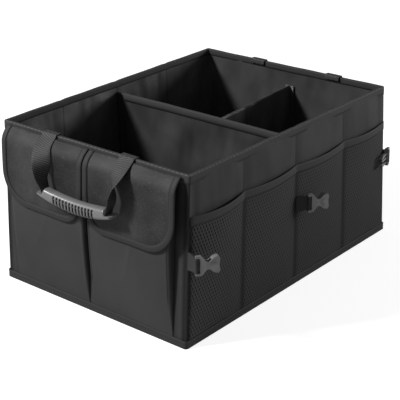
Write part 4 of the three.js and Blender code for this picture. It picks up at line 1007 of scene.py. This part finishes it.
SLOT_PITCH, SLOT_HALF_WIDTH, SLOT_COUNT = 7.5, 1.8, 13
GRIP_POINTS = 64
GRIP_END_ROUND = 4.0


def grip_plastic():
    """Dark grey plastic with a clear coat and a fine grain, dull in the finger slots. The slots and rows of
    dimples on both ends of the top are painted black as shade. Lengths are metres along the grip and round
    its girth."""
    made, shader, tree = new_material("moulded_grip", 0.5, 0.25)
    along, around, _ = tree.node("ShaderNodeTexCoord", output="UV").axes()
    solid = tree.node("ShaderNodeTexCoord", output="Object")
    from_middle = tree.math("ABSOLUTE", along)
    slot_wave = tree.math("COSINE", along * (2 * math.pi / (SLOT_PITCH * 0.001)))
    below_top = tree.math("GREATER_THAN", tree.math("ABSOLUTE", around - 0.02), 0.0125)
    in_slots = tree.math("LESS_THAN", from_middle, 0.0487) * below_top
    shaded_slot = tree.math("GREATER_THAN", slot_wave, 0.1) * in_slots
    dimple_turns = 2 * math.pi / 0.0034
    dimple_wave = tree.math("COSINE", along * dimple_turns) * tree.math("COSINE", around * dimple_turns)
    near_end = tree.math("LESS_THAN", tree.math("ABSOLUTE", from_middle - 0.060), 0.0095)
    near_top = tree.math("LESS_THAN", tree.math("ABSOLUTE", around - 0.019), 0.010)
    shaded_dimple = tree.math("GREATER_THAN", dimple_wave, 0.55) * (near_end * near_top)
    shade = tree.mix(tree.noise(solid, 60.0, 3.0), (0.14, 0.14, 0.142), (0.17, 0.17, 0.172))
    # Painted shade: the finger slots and the dimples are darkened to near black.
    shade = tree.mix(tree.math("MAXIMUM", shaded_slot, shaded_dimple * 0.8), shade, (0.004, 0.004, 0.004))
    set_input(shader, "Base Color", shade)
    set_input(shader, "Roughness", shaded_slot * 0.5 + 0.5)
    set_input(shader, "Coat Weight", 0.8 - shaded_slot * 0.8)
    shader.inputs["Coat Roughness"].default_value = 0.3
    set_input(shader, "Normal", tree.bump(tree.noise(solid, 2600.0, 2.0), 0.00005, 0.5))
    return made


def soft_step(value):
    """From 0 to 1 as value passes 0: the logistic curve."""
    return 1.0 / (1.0 + np.exp(-value))


def grip_surface(grip_out, sway):
    """The moulded grip: a superellipse carried along its line, its belly deepest in the middle. Finger slots
    are cut round its sides and underside as flat-bottomed notches, and past the upper lips its top drops
    below the webbing."""
    share = np.concatenate([[-1.0, -0.998, -0.99], np.linspace(-0.98, 0.98, 330), [0.99, 0.998, 1.0]])
    x = share[:, None] * GRIP_HALF_LENGTH
    turn = np.linspace(0.0, 2 * np.pi, GRIP_POINTS, endpoint=False)[None, :]
    towards_end = (x / GRIP_HALF_LENGTH) ** 2
    into_end = np.clip(np.abs(x) - (GRIP_HALF_LENGTH - GRIP_END_ROUND), 0.0, None) / GRIP_END_ROUND
    rounding = np.sqrt(np.clip(1.0 - into_end ** 2, 0.03, 1.0))
    depth = (10.0 + 1.0 * towards_end) * rounding
    below = (13.0 - 8.0 * towards_end) * rounding
    past_lip = soft_step((np.abs(x) - LIP_HALF_LENGTH) / 0.7)
    above = 12.0 + (0.2 * rounding - 12.0) * past_lip

    def squared_off(value):
        """A sine or cosine raised towards its limits, which squares the section's corners."""
        return np.sign(value) * np.abs(value) ** 0.75

    from_slot = np.abs((x / SLOT_PITCH) - np.round(x / SLOT_PITCH)) * SLOT_PITCH
    in_slot = soft_step((SLOT_HALF_WIDTH - from_slot) / 0.25) * (np.abs(x) < SLOT_COUNT / 2 * SLOT_PITCH)
    low = soft_step((0.5 - np.sin(turn)) / 0.05)
    cut = 1.0 - 0.25 * in_slot * low
    height = np.where(np.sin(turn) > 0.0, above, below)
    up = grip_line(x) + height * squared_off(np.sin(turn)) * cut
    out = grip_out + depth * squared_off(np.cos(turn)) * cut
    return together(x + sway, out, up), x[:, 0] * 0.001, np.linspace(0.0, 0.08, GRIP_POINTS + 1)


# Each handle has its end of the box, how far its grip stands off the hinge, the middle of its anchors along
# the wall, and how far it leans sideways.
webbing_material = ribbed_webbing()
grip_material = grip_plastic()
for name, end, grip_out, centre, sway in (("front", -1.0, 41.5, -6.0, 9.0), ("rear", 1.0, 19.5, 12.0, 0.0)):
    straps = []
    for side in (-1.0, 1.0):
        strap_points, strap_way, strap_across = strap_surface(grip_out, sway, side)
        straps.append(swept(place_handle(strap_points, end, centre), strap_way, strap_across))
    hinge = Vector((0.0, end * (half_length(HINGE_HEIGHT) + HINGE_OUT), HINGE_HEIGHT)) * 0.001
    webbing = make_piece(f"{name}_handle_webbing", straps, webbing_material, "organizer")
    webbing.parent = None
    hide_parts(f"{name}_handle_strap", f"{name}_anchor_left", f"{name}_anchor_right")
    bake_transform(webbing)
    grip_points, grip_way, grip_across = grip_surface(grip_out, sway)
    make_piece(
        f"{name}_handle_moulding", [swept(place_handle(grip_points, end, centre), grip_way, grip_across)],
        grip_material, f"{name}_handle", [f"{name}_handle_grip"],
    )


# Buckle halves: sockets and three-pronged plugs moulded in dark grey plastic, each on a doubled webbing tab
# sewn into a seam. They join the box's corners when it is folded flat, and hang open here.

BUCKLE_EDGE = 0.0004
SHARP_ANGLE = math.radians(34)


def buckle_plastic():
    """Dark grey glossy plastic under a clear coat, a little uneven in shade."""
    made, shader, tree = new_material("buckle_plastic", 0.35, 0.6)
    shader.inputs["Coat Weight"].default_value = 0.8
    shader.inputs["Coat Roughness"].default_value = 0.2
    cloud = tree.noise(tree.node("ShaderNodeTexCoord", output="Object"), 90.0, 2.0)
    set_input(shader, "Base Color", tree.mix(cloud, (0.150, 0.150, 0.154), (0.200, 0.200, 0.205)))
    return made


def waist(shape, bar_side):
    """Draws a socket in behind its bar, as its moulding has it: its height is scaled along its length. The
    length runs the longest way in plan, away from bar_side, and is first cut into short pieces."""
    points = np.array([vertex.co for vertex in shape.verts])
    middle = (points.min(0) + points.max(0)) / 2
    flat = points[:, :2] - middle[:2]
    way = np.linalg.eigh(flat.T @ flat)[1][:, 1]
    way = way * np.sign(way @ (middle[:2] - bar_side[:2]))
    reach = np.abs(flat @ way).max()
    for step in np.linspace(-0.95, 0.95, 24):
        place = (*(middle[:2] + way * step * reach), middle[2])
        bmesh.ops.bisect_plane(shape, geom=shape.verts[:] + shape.edges[:] + shape.faces[:], plane_co=place,
                               plane_no=(*way, 0.0), dist=1e-7)
    shares = [-1.0, -0.55, -0.2, 0.0, 0.35, 0.75, 1.0]
    scales = [1.0, 0.98, 0.62, 0.55, 0.9, 1.0, 0.8]
    for vertex in shape.verts:
        share = (vertex.co[0] - middle[0]) * way[0] + (vertex.co[1] - middle[1]) * way[1]
        scale = np.interp(share / reach, shares, scales)
        vertex.co[2] = middle[2] + (vertex.co[2] - middle[2]) * scale


def finished_copy(node_name, name, material, body, edge, bar_side=None):
    """A copy of a CAD solid with its corners joined, its flat faces kept flat and its edges eased by edge
    metres. A socket has bar_side, the place of the webbing on its bar, and is drawn in behind it."""
    copy = bpy.data.objects.new(name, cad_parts[node_name].data.copy())
    scene.collection.objects.link(copy)
    mesh = copy.data
    shape = bmesh.new()
    shape.from_mesh(mesh)
    bmesh.ops.remove_doubles(shape, verts=shape.verts, dist=1e-6)
    bmesh.ops.dissolve_limit(shape, angle_limit=0.01, verts=shape.verts, edges=shape.edges)
    if bar_side is not None:
        waist(shape, bar_side)
    shape.to_mesh(mesh)
    shape.free()
    if "custom_normal" in mesh.attributes:
        mesh.attributes.remove(mesh.attributes["custom_normal"])
    mesh.polygons.foreach_set("use_smooth", np.ones(len(mesh.polygons), bool))
    mesh.set_sharp_from_angle(angle=SHARP_ANGLE)
    mesh.materials.clear()
    mesh.materials.append(material)
    if edge:
        ease = copy.modifiers.new("eased_edges", "BEVEL")
        ease.width = edge
        ease.segments = 2
        ease.limit_method = "ANGLE"
        ease.angle_limit = SHARP_ANGLE
        ease.harden_normals = True
    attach(copy, body)
    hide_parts(node_name)


buckle_material = buckle_plastic()
tab_material = cloth_material(
    "tab_webbing", (0.022, 0.022, 0.023), (0.040, 0.040, 0.041), 0.7, 500.0, 0.0004,
)
for side_name in ("right", "left"):
    for half in ("front_socket", "middle_socket", "rear_plug"):
        node_name = f"{side_name}_{half}"
        tab_corners = [vertex.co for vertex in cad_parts[f"{node_name}_tab"].data.vertices]
        bar_side = np.array(tab_corners).mean(0) if "socket" in half else None
        finished_copy(
            node_name, f"{node_name}_moulding", buckle_material, node_name, BUCKLE_EDGE, bar_side,
        )
        finished_copy(f"{node_name}_tab", f"{node_name}_webbing", tab_material, "organizer", 0.0)
